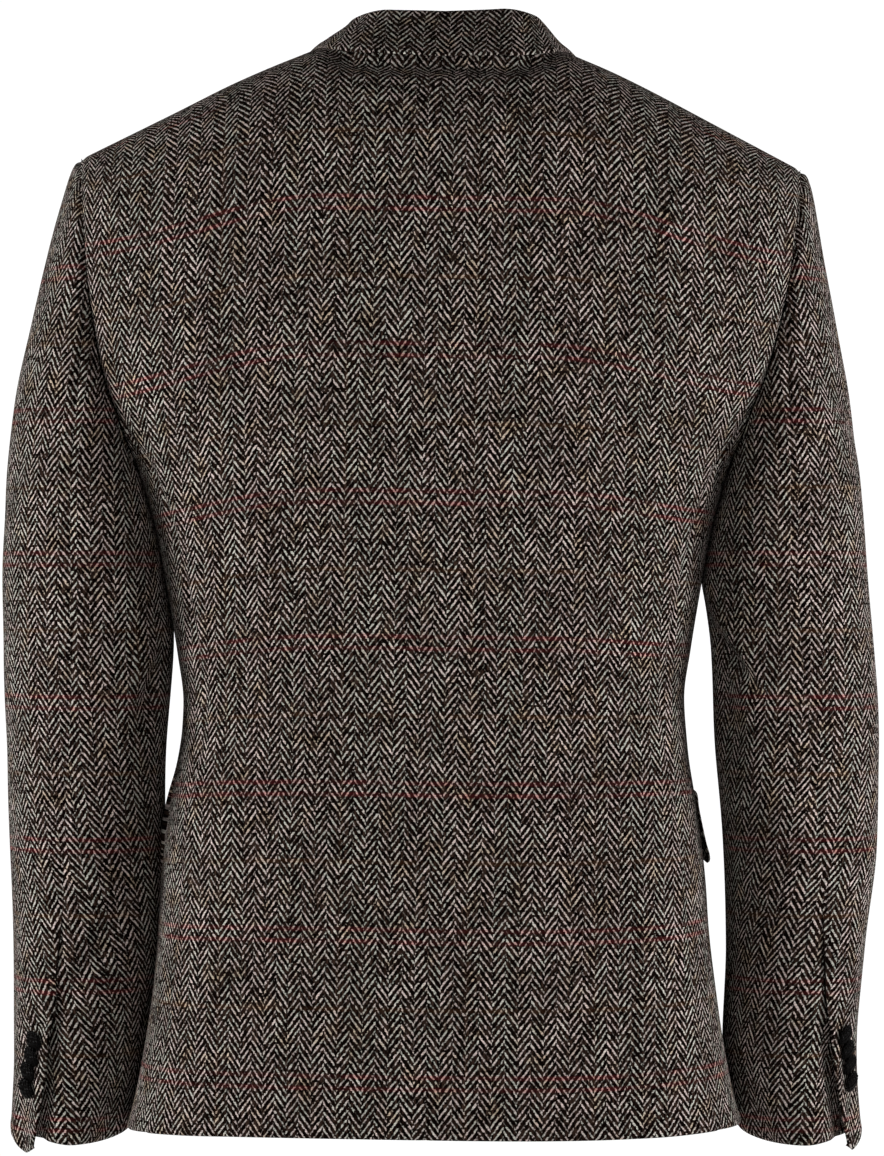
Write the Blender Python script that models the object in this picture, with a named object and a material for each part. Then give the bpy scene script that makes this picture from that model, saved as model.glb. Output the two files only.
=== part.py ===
# A single-breasted tweed hacking jacket, worn by nobody: an open, hollow coat of cloth walls.
# Metres, +Z up. The wearer faces -Y, so the wearer's left side is +X. The origin is where the
# neck and shoulders carry the coat: the middle of the neck opening, level with the nape.
#
# Every panel is a wall whose outer face is read from one of two surfaces: the torso, a stack of
# level sections rounded over a sloping shoulder line, and the sleeve, a fan of rings that starts
# at the armhole. Panels stop a seam's gap short of each other.

import bisect
import math
from functools import partial

import bmesh
import bpy
from mathutils import Vector

# ---------------------------------------------------------------- driving sizes
CLOTH = 0.0022            # cloth with its backing
SEAM = 0.0003             # gap between sewn edges
SIDE_SEAM_GAP = 0.0006    # what the side body adds to it at its curved seams
ARMPIT_GAP = 0.0010       # and more where they curve up to the armpit
ARMPIT_GAP_FROM = -0.440
ON_TOP = 0.0032           # outer face of a piece that lies on a panel, above that panel
LAP_LIFT = 0.0036         # the same where the left front laps
LAP_REACH = 0.060         # that lift has gone at this distance from the centre
LAP_TOP = -0.252          # and at this height
LAPEL_FOOT = -0.420       # above this the left front also clears the foot of the right lapel
SECTION_POWER = 2.4       # squareness of the level sections
SHOULDER_POWER = 2.2      # squareness of the rounding over the shoulder
BACK_ROUND = 0.090        # height over which the back rounds to the shoulder line
FRONT_ROUND = 0.110       # the same before the shoulder line
BELOW_ROUND = 1.8         # fall for each unit of turn once below the rounding, in roundings
SHOULDER_SEAM = 0.0012    # turn at which back and front stop beside the shoulder line

NECK_POINT = 0.0765       # where the shoulder seam meets the neck, from the centre
GORGE = (0.066, -0.055)   # where lapel, collar and neck edge meet: x, z
LAPEL_TIP = (0.140, -0.105)
LAPEL_BELLY = (0.100, -0.235)  # pulls the lapel's outer edge into its curve
LAPEL_REST = ON_TOP + 0.0004
LAPEL_SWELL = 0.0030      # how far the lapel rolls up beside its fold
BREAK = (-0.018, -0.372)  # where the lapel starts to turn out, past the centre: x, z
LAP = 0.018               # how far each front passes the centre
CUTAWAY_TOP = -0.512      # below this the front edges curve apart
CUTAWAY = 0.062           # how far they would have parted at the hem
FRONT_HEM = -0.735
CORNER_FROM = 0.135       # where the front's rounded lower corner begins
CORNER_WIDTH = 0.105
CORNER_RISE = 0.070
SIDE_HEM = -0.7215
SIDE_HEM_RISE = 0.006     # from the front seam to the vent
VENT_CORNER_HEM = -0.7166
BACK_HEM = -0.7150

VENT_TOP = -0.500         # top of each side vent
VENT_LAP = 0.16           # turn by which the side body runs on under the back
VENT_OPENS = 0.012        # height over which it starts to
VENT_LIFTS = (0.70, 0.86)  # shares of the back's width between which its edge rises over the lap
CUFF_VENT_TOP = 0.845     # along the sleeve
CUFF_VENT_LAP = 0.30      # turn by which the under sleeve runs on under the top sleeve
CUFF_LIFT = 0.0040        # how far the top sleeve's vent edge stands over the under sleeve
CUFF_TAB = 0.0052         # beside the vent the top sleeve's hem drops this much into a blunt point
CUFF_TAB_STARTS = 0.90    # along the sleeve
CUFF_TAB_TIP = 0.060      # share of the top sleeve's width from its vent edge to the point
CUFF_TAB_ENDS = (-0.035, 0.165)
CUFF_BUTTONS_IN = (0.062, 0.072, 0.079, 0.079)  # shares of the top sleeve's width in from its vent edge
FOREARM_SEAM = math.radians(232)
SEAM_TURN = SEAM / 0.11   # half a sleeve seam's gap, as a turn of a sleeve 110 mm across
HINDARM_GAP_AT_VENT = 5   # how many times wider it is there
FOREARM_GAP_UNDER_ARM = 4.4

FLAP_LENGTH = (0.10, 1.16)  # turn from the side to its rear and front end
FLAP_TOP = (-0.4975, -0.4620)
FLAP_DROP = 0.050
FLAP_CORNER = 0.10        # share of its length that each rounded lower corner takes
FLAP_CORNER_RISE = 0.014
FLAP_STANDS_OFF = (0.0032, 0.0008)  # how far its lower edge springs off the coat, rear and front

FRONT_BUTTON = 0.0105     # radius
CUFF_BUTTON = 0.0068
CUFF_BUTTON_TILT = math.radians(27)
BUTTON_SEAT = 0.0006      # a front button stands this far off the cloth, on its thread
BUTTON_SUNK = 0.0004      # a tipped cuff button's rounded rim allows this
BUTTON_HEIGHTS = (-0.398, -0.503)
CUFF_BUTTONS_AT = (-0.6573, -0.6680, -0.6787, -0.6903)
CUFF_BUTTONS_DROP = 0.0020  # the left row sits this much lower, the right one as much higher

LEAN = 0.016              # the coat hangs turned toward the wearer's right, radians
LEAN_AT = -0.365          # height that the turn leaves in place
HELD_BELOW = -0.10        # below this the sides of the coat stay upright and only the middle drifts
HELD_OVER = 0.16
HELD_LEVEL = 1.5          # how far the sides turn back the other way there, against the lean


def table(columns, rows):
    return {name: [row[i] for row in rows] for i, name in enumerate(columns.split())}


# Level sections of the torso: half width, and depth behind and before the side line.
TORSO = table("height half back front", [
    (-0.745, 0.2125, 0.1235, 0.1270),
    (-0.718, 0.2068, 0.1245, 0.1275),
    (-0.690, 0.2002, 0.1258, 0.1280),
    (-0.638, 0.1912, 0.1265, 0.1280),
    (-0.590, 0.1857, 0.1240, 0.1262),
    (-0.554, 0.1829, 0.1200, 0.1238),
    (-0.500, 0.1762, 0.1120, 0.1195),
    (-0.466, 0.1713, 0.1065, 0.1175),
    (-0.432, 0.1690, 0.1035, 0.1170),
    (-0.400, 0.1732, 0.1045, 0.1190),
    (-0.358, 0.1799, 0.1090, 0.1245),
    (-0.320, 0.1868, 0.1145, 0.1295),
    (-0.295, 0.1935, 0.1185, 0.1320),
    (-0.278, 0.1990, 0.1210, 0.1335),
    (-0.254, 0.2130, 0.1245, 0.1345),
    (-0.213, 0.2345, 0.1285, 0.1340),
    (-0.180, 0.2445, 0.1300, 0.1310),
    (-0.140, 0.2519, 0.1290, 0.1255),
    (-0.070, 0.2575, 0.1240, 0.1150),
    (0.020, 0.2640, 0.1180, 0.1050),
])

# The shoulder line, out from the centre: height, and how far behind the side line it lies.
SHOULDER = table("out height behind", [
    (0.000, 0.0120, 0.005),
    (0.040, 0.0125, 0.005),
    (0.070, 0.0085, 0.004),
    (0.100, -0.0022, 0.003),
    (0.130, -0.0152, 0.002),
    (0.180, -0.0402, 0.001),
    (0.270, -0.0848, 0.000),
])

# The armhole, upward from the armpit: turn from the side, round to the back and to the front.
ARMHOLE = table("height back front", [
    (-0.2780, 0.000, 0.000),
    (-0.2745, 0.110, 0.130),
    (-0.2680, 0.180, 0.210),
    (-0.2580, 0.240, 0.275),
    (-0.2380, 0.325, 0.345),
    (-0.2130, 0.370, 0.385),
    (-0.1750, 0.400, 0.410),
    (-0.1400, 0.405, 0.405),
    (-0.0697, 0.374, 0.374),
])

# The seams of the side body, upward from the hem: turn from the side.
SIDE_SEAMS = table("height back front", [
    (-0.745, 0.47, 0.44),
    (-0.590, 0.49, 0.46),
    (-0.432, 0.50, 0.46),
    (-0.330, 0.45, 0.39),
    (-0.278, 0.39, 0.31),
    (-0.238, 0.325, 0.25),
])

# The neckline behind, out from the centre: turn over the shoulder line.
NECKLINE = table("out turn", [
    (0.0000, 0.317),
    (0.0300, 0.305),
    (0.0550, 0.240),
    (0.0700, 0.110),
    (0.0765, 0.0012),
])

# The collar from the centre back to the gorge: where its stand and its outer edge meet the coat
# (distance out and turn over the shoulder line), and how far its fold lies in and up from the stand.
COLLAR = table("along neck_x neck_turn edge_x edge_turn fold_in fold_up", [
    (0.00, 0.0000, 0.317, 0.0000, 0.478, 0.0100, 0.0245),
    (0.17, 0.0360, 0.300, 0.0450, 0.464, 0.0100, 0.0245),
    (0.33, 0.0640, 0.185, 0.0725, 0.350, 0.0118, 0.0210),
    (0.50, 0.0765, 0.000, 0.0895, 0.000, 0.0142, 0.0170),
    (0.67, 0.0745, -0.377, 0.1070, -0.290, 0.0085, 0.0115),
    (0.83, 0.0705, -0.580, 0.1240, -0.510, 0.0045, 0.0080),
    (1.00, 0.0660, -0.752, 0.1330, -0.665, 0.0030, 0.0060),
])
COLLAR_FOLD = 0.0045      # radius of the fold
COLLAR_SWAY = 0.0012      # shift of its fold toward the wearer's right, where it also stands higher
COLLAR_RISE = 0.035       # rise for each unit of distance toward that side
COLLAR_REST = ON_TOP + 0.0006
STAND_ENDS = 0.28         # share of the collar's depth up to the fold
FALL_STARTS = 0.54        # and from which it falls outward
FOLD_LEAVES = math.radians(32)
NOTCH = 0.60              # share of the gorge along which collar and lapel are sewn together
NAMED = ((0, "x"), (1, "turn"))

# Rings of the sleeve from the armhole to the cuff: the outer and inner ends, the depth behind
# and before the side line, and the fall of the ring toward the back.
SLEEVE = table("along out_x out_z in_x in_z back front tilt", [
    (0.000, 0.2438, -0.0697, 0.1995, -0.2780, 0.0600, -0.0580, 0.00),
    (0.007, 0.2478, -0.0728, 0.2003, -0.2790, 0.0610, -0.0590, 0.00),
    (0.020, 0.2510, -0.0800, 0.2005, -0.2808, 0.0620, -0.0600, 0.00),
    (0.050, 0.2562, -0.1010, 0.1965, -0.2855, 0.0640, -0.0610, 0.00),
    (0.100, 0.2635, -0.1370, 0.1925, -0.2930, 0.0660, -0.0620, 0.00),
    (0.160, 0.2718, -0.1780, 0.1895, -0.3030, 0.0675, -0.0630, 0.00),
    (0.240, 0.2816, -0.2310, 0.1850, -0.3200, 0.0685, -0.0635, 0.00),
    (0.330, 0.2885, -0.2900, 0.1790, -0.3480, 0.0685, -0.0635, 0.00),
    (0.450, 0.2928, -0.3700, 0.1811, -0.3960, 0.0665, -0.0635, 0.00),
    (0.570, 0.2946, -0.4500, 0.1852, -0.4600, 0.0625, -0.0630, 0.02),
    (0.690, 0.2932, -0.5300, 0.1897, -0.5330, 0.0535, -0.0645, 0.06),
    (0.800, 0.2885, -0.6000, 0.1925, -0.6000, 0.0410, -0.0690, 0.11),
    (0.900, 0.2868, -0.6650, 0.1950, -0.6640, 0.0260, -0.0775, 0.15),
    (1.000, 0.2900, -0.7255, 0.2066, -0.7235, 0.0105, -0.0860, 0.17),
])
SLEEVE_BLEND = 0.30       # share of the sleeve over which the armhole's shape fades out
SLEEVE_MIDDLE = 0.238     # its folds are pressed toward this distance from the centre
BODY_CLEARANCE = 0.0013   # least space between a sleeve and the side of the coat
FLAP_CLEARANCE = 0.0076   # and beside the pocket flap, whose lower edge is at this height
FLAP_AT = -0.540
FLAP_REACH = 0.040
FLAP_TURN = (3.05, 0.35)  # turn where the clearance beside the flap begins, and how far it takes
ARMHOLE_GAP = 0.0010      # the sleeve starts this far out from the armhole

# The hindarm seam: turn from the outer side toward the back, in degrees, and how much further
# the left sleeve is twisted toward the back than the right one, halved.
HINDARM = table("along turn twist", [
    (0.00, 86.0, 0.0),
    (0.50, 86.0, -2.0),
    (0.69, 78.0, -1.0),
    (0.84, 68.5, 1.5),
    (0.90, 64.0, 4.5),
    (1.00, 57.0, 6.0),
])

# Both sleeves hang a little to one side: shift of their outer and inner ends toward the
# wearer's right.
SWAY = table("height outer inner", [
    (-0.735, 0.0008, -0.0007),
    (-0.670, 0.0008, 0.0010),
    (-0.600, 0.0035, 0.0055),
    (-0.530, 0.0064, 0.0062),
    (-0.465, 0.0062, 0.0044),
    (-0.400, 0.0034, 0.0058),
    (-0.330, 0.0002, 0.0000),
    (-0.230, -0.0008, -0.0010),
    (-0.130, 0.0014, 0.0006),
    (-0.070, 0.0047, 0.0047),
])

# Soft folds of the torso and sleeves, each a long trough (or ridge, if depth is negative): its
# middle, half length, half width, lean of its length from upright in degrees, and depth.
BACK_FOLDS = table("x z length width lean depth", [
    (0.172, -0.350, 0.070, 0.013, -12, 0.0035),
    (0.140, -0.385, 0.060, 0.014, 6, 0.0020),
    (0.185, -0.225, 0.055, 0.012, -14, 0.0030),
    (-0.170, -0.290, 0.075, 0.013, 14, 0.0035),
    (-0.138, -0.400, 0.070, 0.016, -8, 0.0022),
    (-0.188, -0.205, 0.050, 0.012, 12, 0.0028),
])
FRONT_FOLDS = table("x z length width lean depth", [
    (0.165, -0.245, 0.060, 0.013, 18, 0.0030),
    (-0.165, -0.250, 0.060, 0.013, -18, 0.0032),
    (0.060, -0.420, 0.050, 0.014, 62, 0.0022),
    (-0.062, -0.425, 0.050, 0.014, -60, 0.0022),
])
SLEEVE_FOLDS = table("side turn z length width lean depth", [
    (1, 112, -0.400, 0.050, 0.013, 58, 0.0046),
    (1, 132, -0.455, 0.045, 0.012, 66, 0.0038),
    (1, 60, -0.250, 0.055, 0.012, 40, 0.0030),
    (1, 290, -0.430, 0.050, 0.013, -62, 0.0045),
    (1, 100, -0.590, 0.045, 0.012, 60, 0.0030),
    (-1, 118, -0.410, 0.055, 0.013, 52, 0.0048),
    (-1, 135, -0.460, 0.045, 0.012, 62, 0.0038),
    (-1, 55, -0.215, 0.050, 0.012, 48, 0.0045),
    (-1, 285, -0.440, 0.050, 0.013, -60, 0.0045),
    (-1, 110, -0.585, 0.050, 0.012, 64, 0.0035),
])


# ---------------------------------------------------------------- reading the tables
def read(data, column, at):
    # A smooth curve through the column's values that never overshoots them.
    places = next(iter(data.values()))
    values = data[column]
    last = len(places) - 1
    at = min(max(at, places[0]), places[last])
    i = min(max(bisect.bisect_right(places, at) - 1, 0), last - 1)

    def secant(k):
        return (values[k + 1] - values[k]) / (places[k + 1] - places[k])

    def slope(k):
        if k in (0, last):
            return secant(min(k, last - 1))
        before, after = secant(k - 1), secant(k)
        return 2 * before * after / (before + after) if before * after > 0 else 0.0

    width = places[i + 1] - places[i]
    t = (at - places[i]) / width
    start = (1 + 2 * t) * (1 - t) ** 2 * values[i] + t * (1 - t) ** 2 * width * slope(i)
    end = t * t * (3 - 2 * t) * values[i + 1] - t * t * (1 - t) * width * slope(i + 1)
    return start + end


def ease(value):
    value = min(max(value, 0.0), 1.0)
    return value * value * (3 - 2 * value)


def mix(a, b, share):
    return a + (b - a) * share


def trough(data, i, across, up):
    # Depth at (across, up), measured on the cloth from the middle of fold i.
    lean = math.radians(data["lean"][i])
    along = up * math.cos(lean) + across * math.sin(lean)
    beside = across * math.cos(lean) - up * math.sin(lean)
    reach = (along / data["length"][i]) ** 2 + (beside / data["width"][i]) ** 2
    return data["depth"][i] * math.exp(-reach)


# ---------------------------------------------------------------- the torso
def fall(turn):
    # Height below the shoulder line after a turn over it; negative turns go to the front.
    rounding = FRONT_ROUND if turn < 0 else BACK_ROUND
    bend = min(abs(turn), 1.0) * math.pi / 2
    rounded = 1 - math.cos(bend) ** (2 / SHOULDER_POWER)
    return rounding * (rounded + BELOW_ROUND * max(abs(turn) - 1, 0))


def turn_at(x, z, behind):
    # The turn over the shoulder line that reaches height z at distance x: fall's inverse.
    rounding = BACK_ROUND if behind else FRONT_ROUND
    share = max(read(SHOULDER, "height", abs(x)) - z, 0) / rounding
    if share >= 1:
        turn = 1 + (share - 1) / BELOW_ROUND
    else:
        turn = math.acos((1 - share) ** (SHOULDER_POWER / 2)) * 2 / math.pi
    return turn if behind else -turn


def over_shoulder(x, turn, side=1):
    # The torso's outer face at a distance from the centre and a turn over the shoulder line; side -1
    # takes the folds of the wearer's right.
    z = read(SHOULDER, "height", abs(x)) - fall(turn)
    behind = read(SHOULDER, "behind", abs(x))
    half = read(TORSO, "half", z)
    level = (1 - min(abs(x) / half, 1) ** SECTION_POWER) ** (1 / SECTION_POWER)
    depth = level * read(TORSO, "back" if turn >= 0 else "front", z)
    rounded = math.sin(min(abs(turn), 1.0) * math.pi / 2) ** (2 / SHOULDER_POWER)
    y = behind + (depth - behind) * rounded if turn >= 0 else behind - (depth + behind) * rounded
    return Vector((x, y - folded(x * side, z, level, turn), z))


def folded(x, z, level, turn):
    # How far the folds press the cloth in; they fade out toward the side, where level is 0.
    folds = BACK_FOLDS if turn >= 0 else FRONT_FOLDS
    dent = sum(trough(folds, i, x - folds["x"][i], z - folds["z"][i]) for i in range(len(folds["x"])))
    return math.copysign(dent * min(level * 1.6, 1.0), turn)


def outward(x, turn):
    # The torso's normal there.
    here = over_shoulder(x, turn)
    across = over_shoulder(x + 0.0005, turn) - here
    along = over_shoulder(x, turn + 0.01) - here
    return across.cross(along).normalized()


def at_side(turn, z, side):
    # The torso's outer face at a turn from its side: 0 at the side, positive to the back.
    x = read(TORSO, "half", z) * math.cos(turn) ** (2 / SECTION_POWER)
    return over_shoulder(x, turn_at(x, z, turn >= 0), side)


def round_side(turn, z, side):
    # The same below the shoulders' rounding, where x hardly changes near the side.
    depth = read(TORSO, "back" if turn >= 0 else "front", z)
    x = read(TORSO, "half", z) * math.cos(turn) ** (2 / SECTION_POWER)
    level = abs(math.sin(turn)) ** (2 / SECTION_POWER)
    return Vector((x, math.copysign(depth * level, turn) - folded(x * side, z, level, turn), z))


def panel_turn(column, z):
    # Where the back (or front) panel ends at height z: the armhole, or below it the side seam.
    return read(ARMHOLE if z > SIDE_SEAMS["height"][-1] else SIDE_SEAMS, column, z)


def panel_edge(column, x, z_of_x):
    # The x at which a panel's row meets its outer edge, closing in from a first guess.
    for _ in range(8):
        z = z_of_x(x)
        x = read(TORSO, "half", z) * math.cos(panel_turn(column, z)) ** (2 / SECTION_POWER)
    return x


def lean(point):
    held = min(abs(point.x) / read(TORSO, "half", point.z), 1.0) ** 2
    held *= ease((HELD_BELOW - point.z) / HELD_OVER)
    shift = LEAN * (point.z - LEAN_AT) * (1 - held)
    return Vector((point.x - shift, point.y, point.z + LEAN * point.x * (1 - HELD_LEVEL * held)))


# ---------------------------------------------------------------- walls of cloth
def normal(surface, u, v, step=0.002):
    u0, u1 = max(u - step, 0), min(u + step, 1)
    v0, v1 = max(v - step, 0), min(v + step, 1)
    return (surface(u1, v) - surface(u0, v)).cross(surface(u, v1) - surface(u, v0)).normalized()


def lifted(surface, lift):
    # The same surface moved out along its normal by lift(u, v).
    def raised(u, v):
        return surface(u, v) + normal(surface, u, v) * lift(u, v)
    return raised


def wall(name, surface, columns, rows, material, side=1, leaning=True, thickness=CLOTH):
    # A closed wall. surface(u, v) gives its outer face on the wearer's left, normal outward;
    # side -1 builds its mirror image on the wearer's right.
    mesh = bmesh.new()
    bmesh.ops.create_grid(mesh, x_segments=columns, y_segments=rows, size=0.5)
    outer = list(mesh.verts)
    copied = bmesh.ops.extrude_face_region(mesh, geom=mesh.faces[:], use_keep_orig=True)
    inner = [item for item in copied["geom"] if isinstance(item, bmesh.types.BMVert)]
    for vertices, depth in ((outer, 0.0), (inner, thickness)):
        for vertex in vertices:
            u, v = vertex.co.x + 0.5, vertex.co.y + 0.5
            point = surface(u, v)
            if depth:
                point = point - normal(surface, u, v) * depth
            point.x *= side
            vertex.co = lean(point) if leaning else point
    bmesh.ops.recalc_face_normals(mesh, faces=mesh.faces[:])
    return finish(name, mesh, material)


def finish(name, mesh, material):
    data = bpy.data.meshes.new(name)
    mesh.to_mesh(data)
    mesh.free()
    data.materials.append(material)
    data.shade_smooth()
    data.set_sharp_from_angle(angle=math.radians(40))
    made = bpy.data.objects.new(name, data)
    bpy.context.scene.collection.objects.link(made)
    return made


def make_material(name, colour, roughness):
    material = bpy.data.materials.new(name)
    material.use_nodes = True
    shader = material.node_tree.nodes["Principled BSDF"]
    shader.inputs["Base Color"].default_value = (*colour, 1.0)
    shader.inputs["Roughness"].default_value = roughness
    shader.inputs["Metallic"].default_value = 0.0
    material.diffuse_color = (*colour, 1.0)
    return material


# ---------------------------------------------------------------- the back
def back_hem(x):
    return mix(BACK_HEM, VENT_CORNER_HEM, (x / 0.195) ** 2)


def back_surface(side, u, v):
    # u from the centre-back seam to the armhole and side seam, v from hem to shoulder and neck.
    def row_turn(x):
        top = read(NECKLINE, "turn", x) if x < NECK_POINT else SHOULDER_SEAM
        return mix(turn_at(x, back_hem(x), True), top, v)

    def row_height(x):
        return read(SHOULDER, "height", x) - fall(row_turn(x))

    edge = panel_edge("back", 0.2, row_height) - SEAM / 2
    x = mix(SEAM / 2, edge, u)
    return over_shoulder(x, row_turn(x), side)


def back_lift(side, u, v):
    # The vent's edge lies on the side body.
    z = back_surface(side, u, v).z
    first, full = VENT_LIFTS
    return ON_TOP * ease((u - first) / (full - first)) * ease((VENT_TOP + 0.06 - z) / 0.055)


def build_back(side, material):
    name = "back_left" if side > 0 else "back_right"
    surface = lifted(partial(back_surface, side), partial(back_lift, side))
    wall(name, lambda u, v: surface(1 - u, v), 12, 26, material, side)


# ---------------------------------------------------------------- the side body
def armhole_height(share, column):
    # The height at which a column of the side body, a share of the way to its seam, meets the armhole.
    low, high = ARMHOLE["height"][0], SIDE_SEAMS["height"][-1]
    for _ in range(24):
        middle = (low + high) / 2
        if read(ARMHOLE, column, middle) < share * read(SIDE_SEAMS, column, middle):
            low = middle
        else:
            high = middle
    return low


def side_surface(side, u, v):
    # u from the front seam round the side to the back seam, v from hem to armhole.
    place = 2 * u - 1
    column = "back" if place > 0 else "front"
    top = armhole_height(abs(place), column)
    z = mix(SIDE_HEM + SIDE_HEM_RISE * u, top, v)
    turn = place * read(SIDE_SEAMS, column, z)
    under_back = VENT_LAP * ease((VENT_TOP - 0.004 - z) / VENT_OPENS) * max(place, 0) ** 2
    gap = SIDE_SEAM_GAP + ARMPIT_GAP * ease((z - ARMPIT_GAP_FROM) / 0.17)
    inset = gap / read(TORSO, "half", z) * place
    return round_side(turn + under_back - inset, z, side)


def build_side(side, material):
    name = "side_body_left" if side > 0 else "side_body_right"
    wall(name, partial(side_surface, side), 10, 17, material, side)


# ---------------------------------------------------------------- the fronts
def roll_line(z):
    # x of the fold of the lapel, and above the gorge the edge that the collar is sewn to.
    if z < GORGE[1]:
        return mix(BREAK[0], GORGE[0], max(z - BREAK[1], 0) / (GORGE[1] - BREAK[1]))
    neck_height = read(SHOULDER, "height", NECK_POINT)
    share = (z - GORGE[1]) / (neck_height - GORGE[1])
    return mix(GORGE[0], NECK_POINT, min(share, 1.0) ** 0.8)


def front_edge(z):
    if z > CUTAWAY_TOP:
        return roll_line(z)
    return -LAP + (CUTAWAY + LAP) * ((CUTAWAY_TOP - z) / (CUTAWAY_TOP - FRONT_HEM)) ** 1.9


def front_hem(x):
    # Level under the side, then down to the front's rounded corner.
    level = mix(FRONT_HEM, SIDE_HEM, ease((x - CORNER_FROM) / 0.05))
    inward = min(max(CORNER_FROM - x, 0) / CORNER_WIDTH, 1.0)
    return level + CORNER_RISE * (1 - math.sqrt(1 - inward ** 2))


def front_surface(side, u, v):
    # u from the front edge to the armhole and seam, v from hem to shoulder.
    def row_turn(x):
        return mix(turn_at(x, front_hem(x), False), -SHOULDER_SEAM, v)

    def row_height(x):
        return read(SHOULDER, "height", abs(x)) - fall(row_turn(x))

    outer = panel_edge("front", 0.2, row_height) - SEAM / 2
    low, high = -2 * LAP, CORNER_FROM
    for _ in range(22):
        middle = (low + high) / 2
        if middle < front_edge(row_height(middle)):
            low = middle
        else:
            high = middle
    x = mix(low, outer, u)
    return over_shoulder(x, row_turn(x), side)


def overlap_lift(x, z):
    # The left front lies on the right one where they lap, and above that on the foot of its lapel.
    beside = ease((LAP_REACH - x) / 0.034) * ease((LAP_TOP - z) / 0.035)
    return LAP_LIFT * beside * (1 + ease((z - LAPEL_FOOT) / 0.035))


def front_lift(side, u, v):
    point = front_surface(side, u, v)
    return overlap_lift(point.x, point.z) if side > 0 else 0.0


def build_front(side, material):
    name = "front_left" if side > 0 else "front_right"
    surface = lifted(partial(front_surface, side), partial(front_lift, side))
    wall(name, surface, 12, 22, material, side)


# ---------------------------------------------------------------- lapels and collar
def gorge_turns():
    return turn_at(*GORGE, False), turn_at(*LAPEL_TIP, False)


def lapel_surface(side):
    # u from the roll line to the outer edge, v from the break point to the gorge.
    def on_front(u, v):
        v = mix(0.02, 1.0, v)
        roll_z = mix(BREAK[1], GORGE[1], v) - SEAM * 2
        roll_x = roll_line(roll_z)
        first = Vector((BREAK[0] + 0.004, BREAK[1] - 0.005))
        outer = first * (1 - v) ** 2 + Vector(LAPEL_BELLY) * 2 * v * (1 - v) + Vector(LAPEL_TIP) * v * v
        roll_turn = turn_at(roll_x, roll_z, False)
        outer_turn = turn_at(outer.x, outer.y, False)
        return over_shoulder(mix(roll_x, outer.x, u), mix(roll_turn, outer_turn, u), side)

    def lift(u, v):
        point = on_front(u, v)
        beneath = overlap_lift(point.x, point.z) if side > 0 else 0.0
        swell = LAPEL_SWELL * math.sin(math.pi * min(u * 2.2, 1.0)) * ease((v - 0.25) / 0.30)
        return LAPEL_REST + swell + beneath

    return lifted(on_front, lift)


def build_lapel(side, material):
    name = "lapel_left" if side > 0 else "lapel_right"
    wall(name, lapel_surface(side), 6, 16, material, side)


def collar_station(along):
    # Where the collar stands, folds and ends at a place along it; negative is the wearer's right.
    side = -1 if along < 0 else 1
    row = {name: read(COLLAR, name, abs(along)) for name in list(COLLAR)[1:]}
    neck = over_shoulder(row["neck_x"], row["neck_turn"])
    return side, row, neck


def collar_surface(u, v):
    # u from the right gorge round the back to the left one, v from the neck seam over the fold
    # to the outer edge.
    along = 2 * u - 1
    side, row, neck = collar_station(along)
    step = 0.02
    before = over_shoulder(read(COLLAR, "neck_x", max(abs(along) - step, 0)),
                           read(COLLAR, "neck_turn", max(abs(along) - step, 0)))
    after = over_shoulder(read(COLLAR, "neck_x", min(abs(along) + step, 1)),
                          read(COLLAR, "neck_turn", min(abs(along) + step, 1)))
    run = after - before if abs(along) > step else Vector((1, 0, 0))
    out = run.cross(Vector((0, 0, 1))).normalized() * -1
    fold = neck - out * row["fold_in"] + Vector((0, 0, row["fold_up"]))
    centre = fold - Vector((0, 0, COLLAR_FOLD))
    stand_foot = neck - out * CLOTH + Vector((0, 0, 0.0008))
    stand_top = centre - out * COLLAR_FOLD

    def on_fold(angle):
        return centre + (out * math.cos(angle) + Vector((0, 0, math.sin(angle)))) * COLLAR_FOLD

    if v <= STAND_ENDS:
        point = stand_foot.lerp(stand_top, v / STAND_ENDS)
    elif v <= FALL_STARTS:
        bend = (v - STAND_ENDS) / (FALL_STARTS - STAND_ENDS)
        point = on_fold(mix(math.pi, FOLD_LEAVES, bend))
    else:
        share = (v - FALL_STARTS) / (1 - FALL_STARTS)
        point = collar_fall(row, abs(along), on_fold(FOLD_LEAVES), share)
    near_fold = math.exp(-((v - FALL_STARTS) / 0.20) ** 2) * (1 - ease((abs(along) - 0.45) / 0.20))
    return Vector((side * point.x - COLLAR_SWAY * near_fold, point.y,
                   point.z - side * point.x * COLLAR_RISE * near_fold))


def collar_fall(row, along, first, share):
    # From the fold down to the outer edge: straight behind the neck, laid on the coat in front,
    # where its end follows the top of the lapel as far as the notch.
    gorge_turn, tip_turn = gorge_turns()
    knee = max(along - 0.83, 0) / 0.17
    sewn = mix(row["neck_x"], LAPEL_TIP[0], NOTCH), mix(gorge_turn, tip_turn, NOTCH)
    plain = [mix(row["neck_" + name], row["edge_" + name], NOTCH) for name in ("x", "turn")]
    notch = [mix(plain[i], sewn[i], knee) for i in (0, 1)]

    def laid(at):
        if at < NOTCH:
            x, turn = (mix(row["neck_" + name], notch[i], at / NOTCH) for i, name in NAMED)
        else:
            past = (at - NOTCH) / (1 - NOTCH)
            x, turn = (mix(notch[i], row["edge_" + name], past) for i, name in NAMED)
        return over_shoulder(x, turn) + outward(x, turn) * COLLAR_REST

    settled = ease(share / 0.25) * ease((along - 0.40) / 0.45)
    return first.lerp(laid(1.0), share).lerp(laid(share), settled)


def build_collar(material):
    wall("collar", collar_surface, 30, 12, material)


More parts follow.
